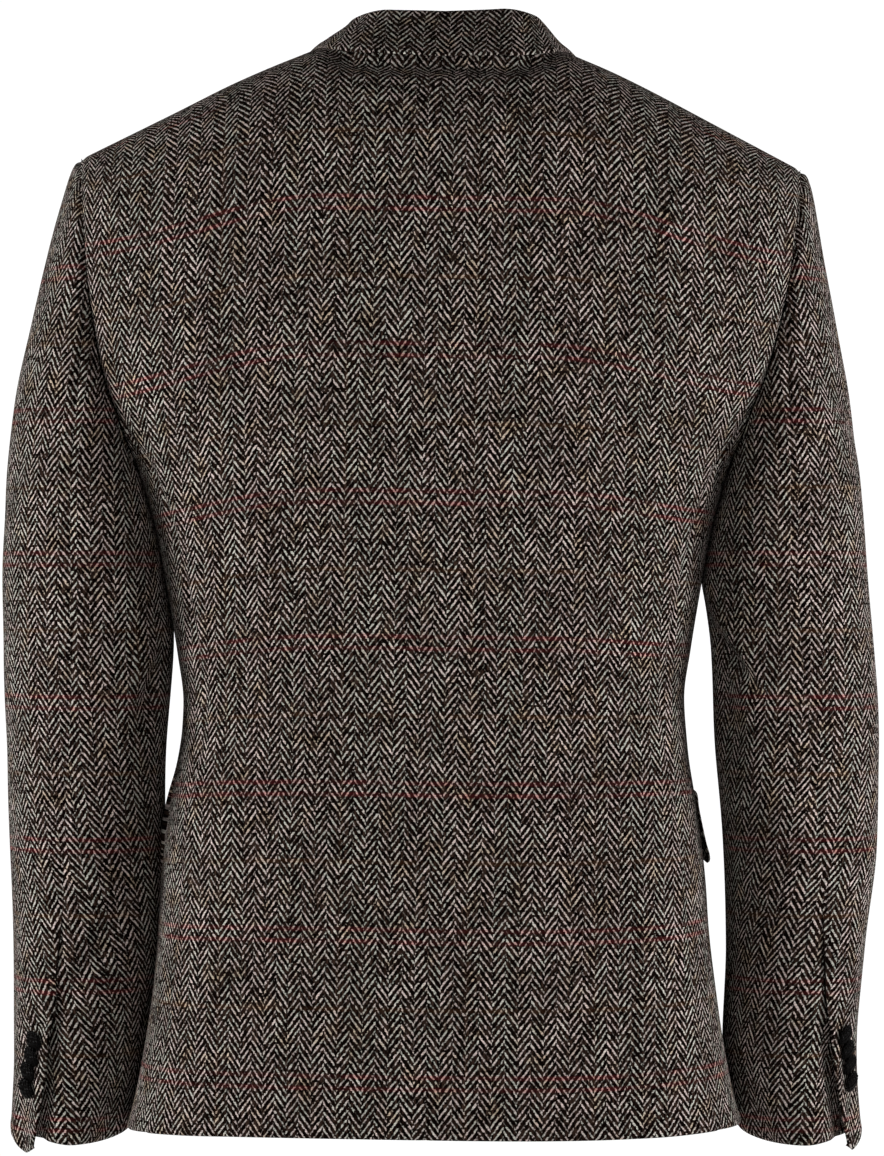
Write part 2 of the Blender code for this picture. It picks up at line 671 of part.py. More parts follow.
# ---------------------------------------------------------------- sleeves
def armhole(side, turn):
    # The armhole's edge: turn 0 at the shoulder tip, pi/2 at the back, pi at the armpit.
    low, high = ARMHOLE["height"][0], ARMHOLE["height"][-1]
    z = mix(low, high, (1 + math.cos(turn)) / 2)
    back = math.sin(turn) >= 0
    side_turn = read(ARMHOLE, "back" if back else "front", z)
    if side_turn > 0:
        return at_side(side_turn if back else -side_turn, z, side)
    return round_side(0.0, z, side)


def ring(side, turn, along):
    # The sleeve's outer face, in the frame of the wearer's left, already hanging as worn.
    row = {name: read(SLEEVE, name, along) for name in list(SLEEVE)[1:]}

    out_z, in_z = row["out_z"], row["in_z"]
    out_x = row["out_x"] - side * read(SWAY, "outer", out_z)
    in_x = row["in_x"] - side * read(SWAY, "inner", in_z)
    beside_flap = math.exp(-((in_z - FLAP_AT) / FLAP_REACH) ** 2)
    before_side = ease((turn % math.tau - FLAP_TURN[0]) / FLAP_TURN[1])
    half = read(TORSO, "half", in_z)
    over_flap = max(in_x, half + mix(BODY_CLEARANCE, FLAP_CLEARANCE, beside_flap))
    least = mix(max(in_x, half + BODY_CLEARANCE), over_flap, before_side)
    in_x = mix(in_x, least, ease(along / 0.1))
    across, behind = math.cos(turn), math.sin(turn)
    point = Vector((mix(in_x, out_x, (1 + across) / 2), 0, mix(in_z, out_z, (1 + across) / 2)))
    point.y = mix(row["front"], row["back"], (1 + behind) / 2)
    point.z -= row["tilt"] * (row["back"] - row["front"]) / 2 * behind
    fade = max(1 - along / SLEEVE_BLEND, 0) ** 2
    if fade:
        edge = armhole(side, turn)
        edge = lean(Vector((side * edge.x, edge.y, edge.z)))
        first = {name: SLEEVE[name][0] for name in SLEEVE}
        flat_x = mix(first["in_x"], first["out_x"], (1 + across) / 2)
        flat_y = mix(first["front"], first["back"], (1 + behind) / 2)
        flat_z = mix(first["in_z"], first["out_z"], (1 + across) / 2)
        start = Vector((side * edge.x + ARMHOLE_GAP, edge.y, edge.z))
        sway = side * mix(read(SWAY, "inner", first["in_z"]), read(SWAY, "outer", first["out_z"]),
                          (1 + across) / 2)
        point += (start - Vector((flat_x - sway, flat_y, flat_z))) * fade
    return point


def sleeve_point(side, turn, along):
    # A ring point with the sleeve's folds pressed in.
    point = ring(side, turn, along)
    dent = 0.0
    for i, folded in enumerate(SLEEVE_FOLDS["side"]):
        if folded != side:
            continue
        middle = math.radians(SLEEVE_FOLDS["turn"][i])
        apart = (turn - middle + math.pi) % (2 * math.pi) - math.pi
        dent += trough(SLEEVE_FOLDS, i, apart * 0.058, point.z - SLEEVE_FOLDS["z"][i])
    inward = Vector((SLEEVE_MIDDLE - point.x, -point.y, 0)).normalized()
    return point + inward * dent


def hindarm(side, along):
    return math.radians(read(HINDARM, "turn", along) + side * read(HINDARM, "twist", along))


def seam_gap(along):
    # Half the gap beside the hindarm seam, as a turn: wider where the cuff's vent begins.
    return SEAM_TURN * mix(1, HINDARM_GAP_AT_VENT, ease((along - CUFF_VENT_TOP + 0.12) / 0.04))


def forearm_gap(along):
    # The same beside the forearm seam: wider under the arm, where the sleeve turns sharply.
    return SEAM_TURN * mix(FOREARM_GAP_UNDER_ARM, 1, ease(along / 0.25))


def cuff_vent(along):
    return ease((along - CUFF_VENT_TOP) / 0.02)


def rows_down(v):
    # Rows stand closer at the sleeve head.
    return mix(v, v * v, 0.55)


def tab_share(u):
    end = CUFF_TAB_ENDS[1 if u > CUFF_TAB_TIP else 0]
    return 1 - min((u - CUFF_TAB_TIP) / (end - CUFF_TAB_TIP), 1.0) ** 1.8


def top_sleeve_surface(side):
    def surface(u, v):
        along = rows_down(v)
        turn = mix(hindarm(side, along) - seam_gap(along), FOREARM_SEAM - math.tau + forearm_gap(along), u)
        point = sleeve_point(side, turn, along)
        if along > CUFF_TAB_STARTS:
            down = (point - sleeve_point(side, turn, along - 0.02)).normalized()
            low = ease((along - CUFF_TAB_STARTS) / (1 - CUFF_TAB_STARTS))
            point += down * CUFF_TAB * tab_share(u) * low
        return point

    def lift(u, v):
        along = rows_down(v)
        return CUFF_LIFT * ease((along - CUFF_VENT_TOP + 0.11) / 0.06) * ease((0.28 - u) / 0.15)

    return lifted(surface, lift)


def under_sleeve_surface(side):
    def surface(u, v):
        along = rows_down(v)
        last = hindarm(side, along) + seam_gap(along) - CUFF_VENT_LAP * cuff_vent(along)
        turn = mix(FOREARM_SEAM - forearm_gap(along), last, u)
        return sleeve_point(side, turn, along)
    return surface


def build_sleeve(side, material):
    hand = "left" if side > 0 else "right"
    wall("top_sleeve_" + hand, top_sleeve_surface(side), 18, 22, material, side, False)
    wall("under_sleeve_" + hand, under_sleeve_surface(side), 11, 22, material, side, False)


# ---------------------------------------------------------------- flaps and buttons
def flap_surface(side, u, v):
    # u from the rear end to the front end, v from the lower edge to the pocket's mouth.
    u = mix(u, (1 - math.cos(math.pi * u)) / 2, 0.75)
    near_end = max(1 - min(u / 0.5, 1 - u) / FLAP_CORNER, 0)
    rise = mix(0.4, 1.0, u) * FLAP_CORNER_RISE * (1 - math.sqrt(1 - near_end ** 2))
    z = mix(*FLAP_TOP, u) - (FLAP_DROP - rise) * (1 - v)
    return round_side(-mix(*FLAP_LENGTH, u), z, side)


def flap_lift(u, v):
    # Its lower edge stands off the coat, most at the rear end.
    return ON_TOP + (1 - v) ** 1.5 * mix(*FLAP_STANDS_OFF, u)


def build_flap(side, material):
    name = "pocket_flap_left" if side > 0 else "pocket_flap_right"
    surface = lifted(lambda u, v: flap_surface(side, 1 - u, v), lambda u, v: flap_lift(1 - u, v))
    wall(name, surface, 16, 4, material, side)


def build_button(name, centre, out, up, radius, tilt, material):
    # A domed, knotted button: a turned profile, tipped back by tilt so that a row can overlap.
    height = radius * 0.62
    profile = ((0.0, height), (0.45, height * 0.93), (0.78, height * 0.72), (0.96, height * 0.42),
               (1.0, height * 0.25), (0.88, 0.0004), (0.0, 0.0))
    mesh = bmesh.new()
    points = [mesh.verts.new((radius * share, 0, rise)) for share, rise in profile]
    edges = [mesh.edges.new(pair) for pair in zip(points, points[1:])]
    bmesh.ops.spin(mesh, geom=points + edges, cent=(0, 0, 0), axis=(0, 0, 1), angle=math.tau,
                   steps=14, use_merge=True, use_duplicate=False)
    bmesh.ops.remove_doubles(mesh, verts=mesh.verts[:], dist=0.00005)
    bmesh.ops.recalc_face_normals(mesh, faces=mesh.faces[:])
    across = up.cross(out).normalized()
    upward = out.cross(across).normalized()
    face = (out * math.cos(tilt) - upward * math.sin(tilt)).normalized()
    rise = face.cross(across).normalized() * -1
    for vertex in mesh.verts:
        vertex.co = centre + across * vertex.co.x + rise * vertex.co.y + face * vertex.co.z
    bmesh.ops.recalc_face_normals(mesh, faces=mesh.faces[:])
    finish(name, mesh, material)


def left_face(x, z):
    # The left front's outer face near the centre, where it laps over the right one.
    turn = turn_at(x, z, False)
    return over_shoulder(x, turn) + outward(x, turn) * overlap_lift(x, z)


def build_front_buttons(material):
    for number, z in enumerate(BUTTON_HEIGHTS, 1):
        seat = left_face(0.0, z)
        out = (left_face(0.004, z) - seat).cross(left_face(0.0, z + 0.004) - seat).normalized()
        centre = lean(seat + out * BUTTON_SEAT)
        build_button(f"front_button_{number}", centre, out, Vector((0, 0, 1)), FRONT_BUTTON, 0.0, material)


def build_cuff_buttons(side, material):
    hand = "left" if side > 0 else "right"
    surface = top_sleeve_surface(side)
    for number, (z, inset) in enumerate(zip(CUFF_BUTTONS_AT, CUFF_BUTTONS_IN), 1):
        low, high = 0.6, 1.0
        for _ in range(24):
            v = (low + high) / 2
            if surface(inset, v).z > z - side * CUFF_BUTTONS_DROP:
                low = v
            else:
                high = v
        seat = surface(inset, v)
        out = normal(surface, inset, v)
        up = surface(inset, v - 0.01) - surface(inset, v + 0.01)
        centre = seat + out * (math.sin(CUFF_BUTTON_TILT) * CUFF_BUTTON - BUTTON_SUNK)
        flip = Vector((side, 1, 1))
        build_button(f"cuff_button_{hand}_{number}", centre * flip, out * flip, up * flip,
                     CUFF_BUTTON, CUFF_BUTTON_TILT, material)


def main():
    for item in list(bpy.data.objects):
        bpy.data.objects.remove(item, do_unlink=True)
    tweed = make_material("tweed", (0.078, 0.062, 0.055), 0.92)
    knotted = make_material("knotted_button", (0.012, 0.011, 0.011), 0.45)
    for side in (1, -1):
        build_back(side, tweed)
        build_side(side, tweed)
        build_front(side, tweed)
        build_lapel(side, tweed)
        build_sleeve(side, tweed)
        build_flap(side, tweed)
        build_cuff_buttons(side, knotted)
    build_collar(tweed)
    build_front_buttons(knotted)


main()
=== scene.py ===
import bisect
import functools
import math

import bmesh
import bpy
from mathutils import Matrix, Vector, noise
from mathutils.bvhtree import BVHTree


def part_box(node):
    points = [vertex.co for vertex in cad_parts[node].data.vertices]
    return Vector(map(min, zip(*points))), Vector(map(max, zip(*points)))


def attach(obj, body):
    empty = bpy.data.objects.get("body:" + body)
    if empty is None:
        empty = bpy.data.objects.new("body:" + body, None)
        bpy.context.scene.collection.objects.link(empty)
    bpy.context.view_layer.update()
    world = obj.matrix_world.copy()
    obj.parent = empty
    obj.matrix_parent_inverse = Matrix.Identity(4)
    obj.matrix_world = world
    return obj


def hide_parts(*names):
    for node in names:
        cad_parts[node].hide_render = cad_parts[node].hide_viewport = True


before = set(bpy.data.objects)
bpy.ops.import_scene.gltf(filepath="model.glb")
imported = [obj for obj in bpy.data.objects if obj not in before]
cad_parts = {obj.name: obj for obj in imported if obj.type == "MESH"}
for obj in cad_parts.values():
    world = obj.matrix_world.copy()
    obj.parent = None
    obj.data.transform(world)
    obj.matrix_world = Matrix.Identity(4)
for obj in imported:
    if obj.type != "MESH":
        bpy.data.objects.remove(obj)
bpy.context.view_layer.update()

# Metres, the frame of the solids: +Z up, the wearer faces -Y, the wearer's left is +X.
# side is 1 on the wearer's left and -1 on the right.
hands = {1: "left", -1: "right"}

cloth = {
    "thick": 0.0022,
    "seam": -0.0004,         # sewn edges meet inside the seam
    "onTop": 0.0032,         # a piece that lies on another one
    "lapLift": 0.0036,       # the left front over the right one
    "lapReach": 0.060,
    "lapTop": -0.252,
    "lapelFoot": -0.420,
    "edgeRound": 0.0016,     # rounding of a turned edge
    "edgeDrop": 0.75,        # share of that by which its face falls
    "edgeBead": 0.0005,      # a turned edge is this much thicker
    "beadAt": 0.004,         # this far in
    "seamDip": 0.0012,       # a seam pulls its two edges in
    "seamReach": 0.0028,
    "crowd": 0.86,           # how much closer the mesh stands at a panel's edges
    "ripple": 0.0005,        # slight unevenness of hand-pressed cloth
    "rippleSize": 0.055,
    "rippleFrom": 0.03,      # it grows over this distance from the edges
}


def named(words, side):
    # a sewn piece's name and its node's, such as backLeft and back_left
    words = [*words.split(), hands[side]]
    return words[0] + "".join(word.title() for word in words[1:]), "_".join(words)


def columns(names, rows):
    return {name: [row[i] for row in rows] for i, name in enumerate(names.split())}


def read(data, column, at):
    # a smooth curve through the column's values that never overshoots them
    places = next(iter(data.values()))
    values = data[column]
    last = len(places) - 1
    at = min(max(at, places[0]), places[last])
    i = min(max(bisect.bisect_right(places, at) - 1, 0), last - 1)

    def secant(k):
        return (values[k + 1] - values[k]) / (places[k + 1] - places[k])

    def slope(k):
        if k in (0, last):
            return secant(min(k, last - 1))
        before, after = secant(k - 1), secant(k)
        return 2 * before * after / (before + after) if before * after > 0 else 0.0

    width = places[i + 1] - places[i]
    t = (at - places[i]) / width
    start = (1 + 2 * t) * (1 - t) ** 2 * values[i] + t * (1 - t) ** 2 * width * slope(i)
    end = t * t * (3 - 2 * t) * values[i + 1] - t * t * (1 - t) * width * slope(i + 1)
    return start + end


def ease(value):
    value = min(max(value, 0.0), 1.0)
    return value * value * (3 - 2 * value)


def mix(a, b, share):
    return a + (b - a) * share


def trough(data, i, across, up):
    # depth of fold i at a place measured on the cloth from its middle
    lean = math.radians(data["lean"][i])
    along = up * math.cos(lean) + across * math.sin(lean)
    beside = across * math.cos(lean) - up * math.sin(lean)
    reach = (along / data["length"][i]) ** 2 + (beside / data["width"][i]) ** 2
    return data["depth"][i] * math.exp(-reach) if reach < 9 else 0.0


# the torso: level sections, rounded over a sloping shoulder line
body = {"square": 2.4, "shoulderSquare": 2.2, "backRound": 0.090, "frontRound": 0.110,
        "belowRound": 1.8, "shoulderSeam": 0.0012, "neckPoint": 0.0765, "foldsReach": 1.6,
        "lean": 0.016, "leanAt": -0.365, "heldBelow": -0.10, "heldOver": 0.16, "heldLevel": 1.5}

torso = columns("height half back front", [
    (-0.745, 0.2125, 0.1235, 0.1270),
    (-0.718, 0.2068, 0.1245, 0.1275),
    (-0.690, 0.2002, 0.1258, 0.1280),
    (-0.638, 0.1912, 0.1265, 0.1280),
    (-0.590, 0.1857, 0.1240, 0.1262),
    (-0.554, 0.1829, 0.1200, 0.1238),
    (-0.500, 0.1762, 0.1120, 0.1195),
    (-0.466, 0.1713, 0.1065, 0.1175),
    (-0.432, 0.1690, 0.1035, 0.1170),
    (-0.400, 0.1732, 0.1045, 0.1190),
    (-0.358, 0.1799, 0.1090, 0.1245),
    (-0.320, 0.1868, 0.1145, 0.1295),
    (-0.295, 0.1935, 0.1185, 0.1320),
    (-0.278, 0.1990, 0.1210, 0.1335),
    (-0.254, 0.2130, 0.1245, 0.1345),
    (-0.213, 0.2345, 0.1285, 0.1340),
    (-0.180, 0.2445, 0.1300, 0.1310),
    (-0.140, 0.2519, 0.1290, 0.1255),
    (-0.070, 0.2575, 0.1240, 0.1150),
    (0.020, 0.2640, 0.1180, 0.1050),
])

shoulder = columns("out height behind", [
    (0.000, 0.0120, 0.005),
    (0.040, 0.0125, 0.005),
    (0.070, 0.0085, 0.004),
    (0.100, -0.0022, 0.003),
    (0.130, -0.0152, 0.002),
    (0.180, -0.0402, 0.001),
    (0.270, -0.0848, 0.000),
])

armholeEdge = columns("height back front", [
    (-0.2780, 0.000, 0.000),
    (-0.2745, 0.110, 0.130),
    (-0.2680, 0.180, 0.210),
    (-0.2580, 0.240, 0.275),
    (-0.2380, 0.325, 0.345),
    (-0.2130, 0.370, 0.385),
    (-0.1750, 0.400, 0.410),
    (-0.1400, 0.405, 0.405),
    (-0.0697, 0.374, 0.374),
])

sideSeams = columns("height back front", [
    (-0.745, 0.47, 0.44),
    (-0.590, 0.49, 0.46),
    (-0.432, 0.50, 0.46),
    (-0.330, 0.45, 0.39),
    (-0.278, 0.39, 0.31),
    (-0.238, 0.325, 0.25),
])

neckline = columns("out turn", [
    (0.0000, 0.317),
    (0.0300, 0.305),
    (0.0550, 0.240),
    (0.0700, 0.110),
    (0.0765, 0.0012),
])

# soft folds: middle, half length, half width, lean from upright in degrees, depth
backFolds = columns("x z length width lean depth", [
    (0.172, -0.370, 0.075, 0.013, -12, 0.0045),
    (0.132, -0.400, 0.050, 0.012, 6, 0.0032),
    (0.185, -0.225, 0.055, 0.012, -14, 0.0034),
    (-0.169, -0.298, 0.070, 0.012, 12, 0.0048),
    (-0.138, -0.400, 0.070, 0.016, -8, 0.0026),
    (-0.188, -0.205, 0.050, 0.012, 12, 0.0028),
])
frontFolds = columns("x z length width lean depth", [
    (0.165, -0.245, 0.060, 0.013, 18, 0.0030),
    (-0.165, -0.250, 0.060, 0.013, -18, 0.0032),
    (0.060, -0.420, 0.050, 0.014, 62, 0.0022),
    (-0.062, -0.425, 0.050, 0.014, -60, 0.0022),
])
# the left hip stands out where the sleeve nearly touches it
leftHip = columns("height swell", [
    (-0.745, 0.0000),
    (-0.640, 0.0000),
    (-0.600, 0.0006),
    (-0.560, 0.0010),
    (-0.530, 0.0040),
    (-0.512, 0.0056),
    (-0.495, 0.0042),
    (-0.475, 0.0016),
    (-0.450, 0.0000),
    (0.020, 0.0000),
])


def swell(x, z, side):
    # side 0 leaves the hip out
    return read(leftHip, "swell", z) * (abs(x) / read(torso, "half", z)) ** 6 if side > 0 else 0.0


def fall(turn):
    rounding = body["frontRound"] if turn < 0 else body["backRound"]
    bend = min(abs(turn), 1.0) * math.pi / 2
    rounded = 1 - max(math.cos(bend), 0) ** (2 / body["shoulderSquare"])
    return rounding * (rounded + body["belowRound"] * max(abs(turn) - 1, 0))


def turnAt(x, z, behind):
    rounding = body["backRound"] if behind else body["frontRound"]
    share = max(read(shoulder, "height", abs(x)) - z, 0) / rounding
    if share >= 1:
        turn = 1 + (share - 1) / body["belowRound"]
    else:
        turn = math.acos((1 - share) ** (body["shoulderSquare"] / 2)) * 2 / math.pi
    return turn if behind else -turn


def pressedIn(x, z, level, turn, side=1):
    # depth of the folds, which fade out toward the side, where level is 0
    folds = backFolds if turn >= 0 else frontFolds
    dent = sum(trough(folds, i, x * side - folds["x"][i], z - folds["z"][i]) for i in range(len(folds["x"])))
    return math.copysign(dent * min(level * body["foldsReach"], 1.0), turn)


def overShoulder(x, turn, side=1):
    z = read(shoulder, "height", abs(x)) - fall(turn)
    behind = read(shoulder, "behind", abs(x))
    half = read(torso, "half", z)
    level = (1 - min(abs(x) / half, 1) ** body["square"]) ** (1 / body["square"])
    depth = level * read(torso, "back" if turn >= 0 else "front", z)
    rounded = math.sin(min(abs(turn), 1.0) * math.pi / 2) ** (2 / body["shoulderSquare"])
    y = behind + (depth - behind) * rounded if turn >= 0 else behind - (depth + behind) * rounded
    return Vector((x + swell(x, z, side), y - pressedIn(x, z, level, turn, side), z))


def outward(x, turn):
    # square to the cloth, from two short steps on it
    here = overShoulder(x, turn, 0)
    across = overShoulder(x + 0.0005, turn, 0) - here
    along = overShoulder(x, turn + 0.01, 0) - here
    return across.cross(along).normalized()


def atSide(turn, z, side):
    x = read(torso, "half", z) * math.cos(turn) ** (2 / body["square"])
    return overShoulder(x, turnAt(x, z, turn >= 0), side)


def roundSide(turn, z, side=1):
    depth = read(torso, "back" if turn >= 0 else "front", z)
    x = read(torso, "half", z) * math.cos(turn) ** (2 / body["square"])
    level = abs(math.sin(turn)) ** (2 / body["square"])
    y = math.copysign(depth * level, turn) - pressedIn(x, z, level, turn, side)
    return Vector((x + swell(x, z, side), y, z))


def panelTurn(column, z):
    return read(armholeEdge if z > sideSeams["height"][-1] else sideSeams, column, z)


def panelEdge(column, x, heightAt):
    for _ in range(8):
        z = heightAt(x)
        x = read(torso, "half", z) * math.cos(panelTurn(column, z)) ** (2 / body["square"])
    return x


def leaned(point):
    held = min(abs(point.x) / read(torso, "half", point.z), 1.0) ** 2
    held *= ease((body["heldBelow"] - point.z) / body["heldOver"])
    shift = body["lean"] * (point.z - body["leanAt"]) * (1 - held)
    rise = body["lean"] * point.x * (1 - body["heldLevel"] * held)
    return Vector((point.x - shift, point.y, point.z + rise))


plumbAbove = -0.12           # the sections used for the weave stop changing here


@functools.cache
def sectionArc(level, column):
    # a level section from the centre to the side: places, and lengths so far; the height is in millimetres
    half, depth = read(torso, "half", level / 1000), read(torso, column, level / 1000)
    power, steps = 2 / body["square"], 60
    out, arc, before = [0.0], [0.0], Vector((0, depth))
    for k in range(1, steps + 1):
        angle = math.pi / 2 * k / steps
        here = Vector((half * math.sin(angle) ** power, depth * max(math.cos(angle), 0) ** power))
        out.append(here.x)
        arc.append(arc[-1] + (here - before).length)
        before = here
    return out, arc


def clothAcross(point, column="back"):
    # distance on the cloth from the centre line, level
    out, arc = sectionArc(round(min(point.z, plumbAbove) * 1000), column)
    k = min(bisect.bisect_right(out, abs(point.x)) - 1, len(arc) - 2)
    share = min((abs(point.x) - out[k]) / (out[k + 1] - out[k]), 1.0)
    return math.copysign(mix(arc[k], arc[k + 1], share), point.x)


# how far the level threads drop toward the sides of the upper back, and the stretch over which they do
dropOver = (0.075, 0.16)
checkDrop = columns("height drop", [
    (-0.60, 0.000),
    (-0.48, 0.004),
    (-0.39, 0.012),
    (-0.30, 0.019),
    (-0.20, 0.027),
    (-0.10, 0.030),
])


def torsoWeave(point, climbed, column="back"):
    across = clothAcross(point, column)
    drop = read(checkDrop, "drop", point.z) * ease((abs(point.x) - dropOver[0]) / dropOver[1])
    return across, climbed + drop


# each panel is a grid laid on the form, which is the outer face of its wall
def crowded(share):
    return mix(share, ease(share), cloth["crowd"])


def edgeShape(kind, away):
    # how far the outer face rises or falls beside an edge
    if kind == "seam":
        return -cloth["seamDip"] * math.exp(-(away / cloth["seamReach"]) ** 2)
    if kind == "turned":
        bead = cloth["edgeBead"] * math.exp(-(away / cloth["beadAt"] - 1) ** 2)
        short = max(1 - away / cloth["edgeRound"], 0)
        return bead - cloth["edgeRound"] * cloth["edgeDrop"] * (1 - math.sqrt(1 - short * short))
    return 0.0


def makePanel(name, node, surface, size, edges, weave, side=1, lift=None, leaning=True):
    # surface(u, v) is the outer face on the wearer's left; edges are those at u=0, u=1, v=0, v=1
    across, along = size
    mesh = bmesh.new()
    bmesh.ops.create_grid(mesh, x_segments=across, y_segments=along, size=0.5)
    grid = {(round((v.co.x + 0.5) * across), round((v.co.y + 0.5) * along)): v for v in mesh.verts}
    base = {}
    for (i, j), vertex in grid.items():
        base[i, j] = surface(crowded(i / across), crowded(j / along))
        vertex.co = base[i, j]
    rowRun, climb = {}, {}
    for j in range(along + 1):
        rowRun[0, j] = 0.0
        for i in range(1, across + 1):
            rowRun[i, j] = rowRun[i - 1, j] + (base[i, j] - base[i - 1, j]).length
    for i in range(across + 1):
        climb[i, 0] = 0.0
        for j in range(1, along + 1):
            climb[i, j] = climb[i, j - 1] + (base[i, j] - base[i, j - 1]).length
    mesh.normal_update()
    threads = {}
    moved = {}
    for (i, j), vertex in grid.items():
        point = base[i, j]
        away = (rowRun[i, j], rowRun[across, j] - rowRun[i, j], climb[i, j], climb[i, along] - climb[i, j])
        raised = sum(edgeShape(kind, distance) for kind, distance in zip(edges, away))
        inside = ease(min(away) / cloth["rippleFrom"])
        place = Vector((point.x * side, point.y, point.z)) / cloth["rippleSize"]
        raised += cloth["ripple"] * noise.noise(place + Vector((7.3, 1.9, 4.1))) * inside
        if lift:
            raised += lift(crowded(i / across), crowded(j / along), point)
        beside, above = weave(point, i, j, rowRun, climb)
        threads[vertex] = beside * side, above
        moved[vertex] = point + vertex.normal * raised
    for vertex, point in moved.items():
        point.x *= side
        vertex.co = leaned(point) if leaning else point
    weaveMap = mesh.loops.layers.uv.new("weave")
    for face in mesh.faces:
        for loop in face.loops:
            loop[weaveMap].uv = threads[loop.vert]
    if side < 0:
        bmesh.ops.reverse_faces(mesh, faces=mesh.faces[:])
    mesh.normal_update()
    return finishCloth(name, mesh, node)


def addObject(name, mesh, *materials):
    # the modelled mesh as an object at the origin
    data = bpy.data.meshes.new(name)
    mesh.to_mesh(data)
    mesh.free()
    for material in materials:
        data.materials.append(material)
    piece = bpy.data.objects.new(name, data)
    bpy.context.scene.collection.objects.link(piece)
    return piece


def standFor(piece, node):
    piece.data.shade_smooth()
    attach(piece, "root")
    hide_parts(node)


def finishCloth(name, mesh, node):
    piece = addObject(name, mesh, tweed, tweedEdge)
    wall = piece.modifiers.new("wall", "SOLIDIFY")
    wall.thickness = cloth["thick"]
    wall.offset = -1
    wall.material_offset_rim = 1
    standFor(piece, node)
    return piece


def simpleWeave(point, i, j, rowRun, climb):
    return rowRun[i, j], climb[i, j]


def newMaterial(name, colour, roughness, specular):
    material = bpy.data.materials.new(name)
    material.use_nodes = True
    shader = material.node_tree.nodes["Principled BSDF"]
    shader.inputs["Base Color"].default_value = (*colour, 1)
    shader.inputs["Roughness"].default_value = roughness
    shader.inputs["Specular IOR Level"].default_value = specular
    return material


def maths(tree, operation, *inputs):
    # a Math node fed by sockets or by plain values
    node = tree.nodes.new("ShaderNodeMath")
    node.operation = operation
    for socket, value in zip(node.inputs, inputs):
        if isinstance(value, bpy.types.NodeSocket):
            tree.links.new(value, socket)
        else:
            socket.default_value = value
    return node.outputs[0]


def addRelief(tree, height, strength, distance):
    relief = tree.nodes.new("ShaderNodeBump")
    relief.inputs["Strength"].default_value = strength
    relief.inputs["Distance"].default_value = distance
    tree.links.new(height, relief.inputs["Height"])
    tree.links.new(relief.outputs[0], tree.nodes["Principled BSDF"].inputs["Normal"])


tweedLook = {
    "stripe": 0.0084,        # width of one herringbone stripe
    "pitch": 0.00565,        # height between two ribs
    "ribsAcross": 2.0,       # ribs that a stripe crosses
    "pick": 0.00160,         # height of one weft thread
    "warp": 0.00120,
    "drift": 0.0012,         # how far the threads wander
    "tremble": 0.0007,
    "offset": 0.40,          # the ribs of two stripes miss each other by this share of the pitch
    "dark": (0.0022, 0.0010, 0.0007),
    "brown": (0.0440, 0.0250, 0.0180),
    "lightWarm": (0.455, 0.372, 0.352),
    "lightCool": (0.375, 0.372, 0.330),
    "lightTan": (0.400, 0.305, 0.215),
    "red": (0.440, 0.190, 0.175),
    "redDark": (0.040, 0.0060, 0.0066),
    "rust": (0.330, 0.210, 0.130),
    "rustDark": (0.035, 0.014, 0.006),
    "edge": (0.0200, 0.0140, 0.0120),
    "checkPeriod": 0.0952,
    "checkAt": -0.107,
    "checkGap": 0.0078,
    "lineWidth": 0.0014,
    "uprightPeriod": 0.0840,
    "uprightWidth": 0.0011,
    "patchy": (0.20, 0.80),  # the check's lines come and go between these shares
    "neckFade": (-0.060, -0.030, 0.12),  # heights over which they fade to this share
    "ribEdge": (0.38, 0.92),
    "yarnLight": 0.42,       # how bright the dullest thread is, and how much brighter the brightest
    "yarnSpread": 1.0,
    "beading": 0.24,
    # how fine each unevenness is, to the metre
    "scales": {"wander": 16, "tremble": 420, "fibre": 2600, "tint": 130, "tan": 58, "patch": 38, "shade": 32},
    "roughness": 0.95,
    "sheen": (0.004, 0.6),
    "bump": (0.7, 0.00035),
}


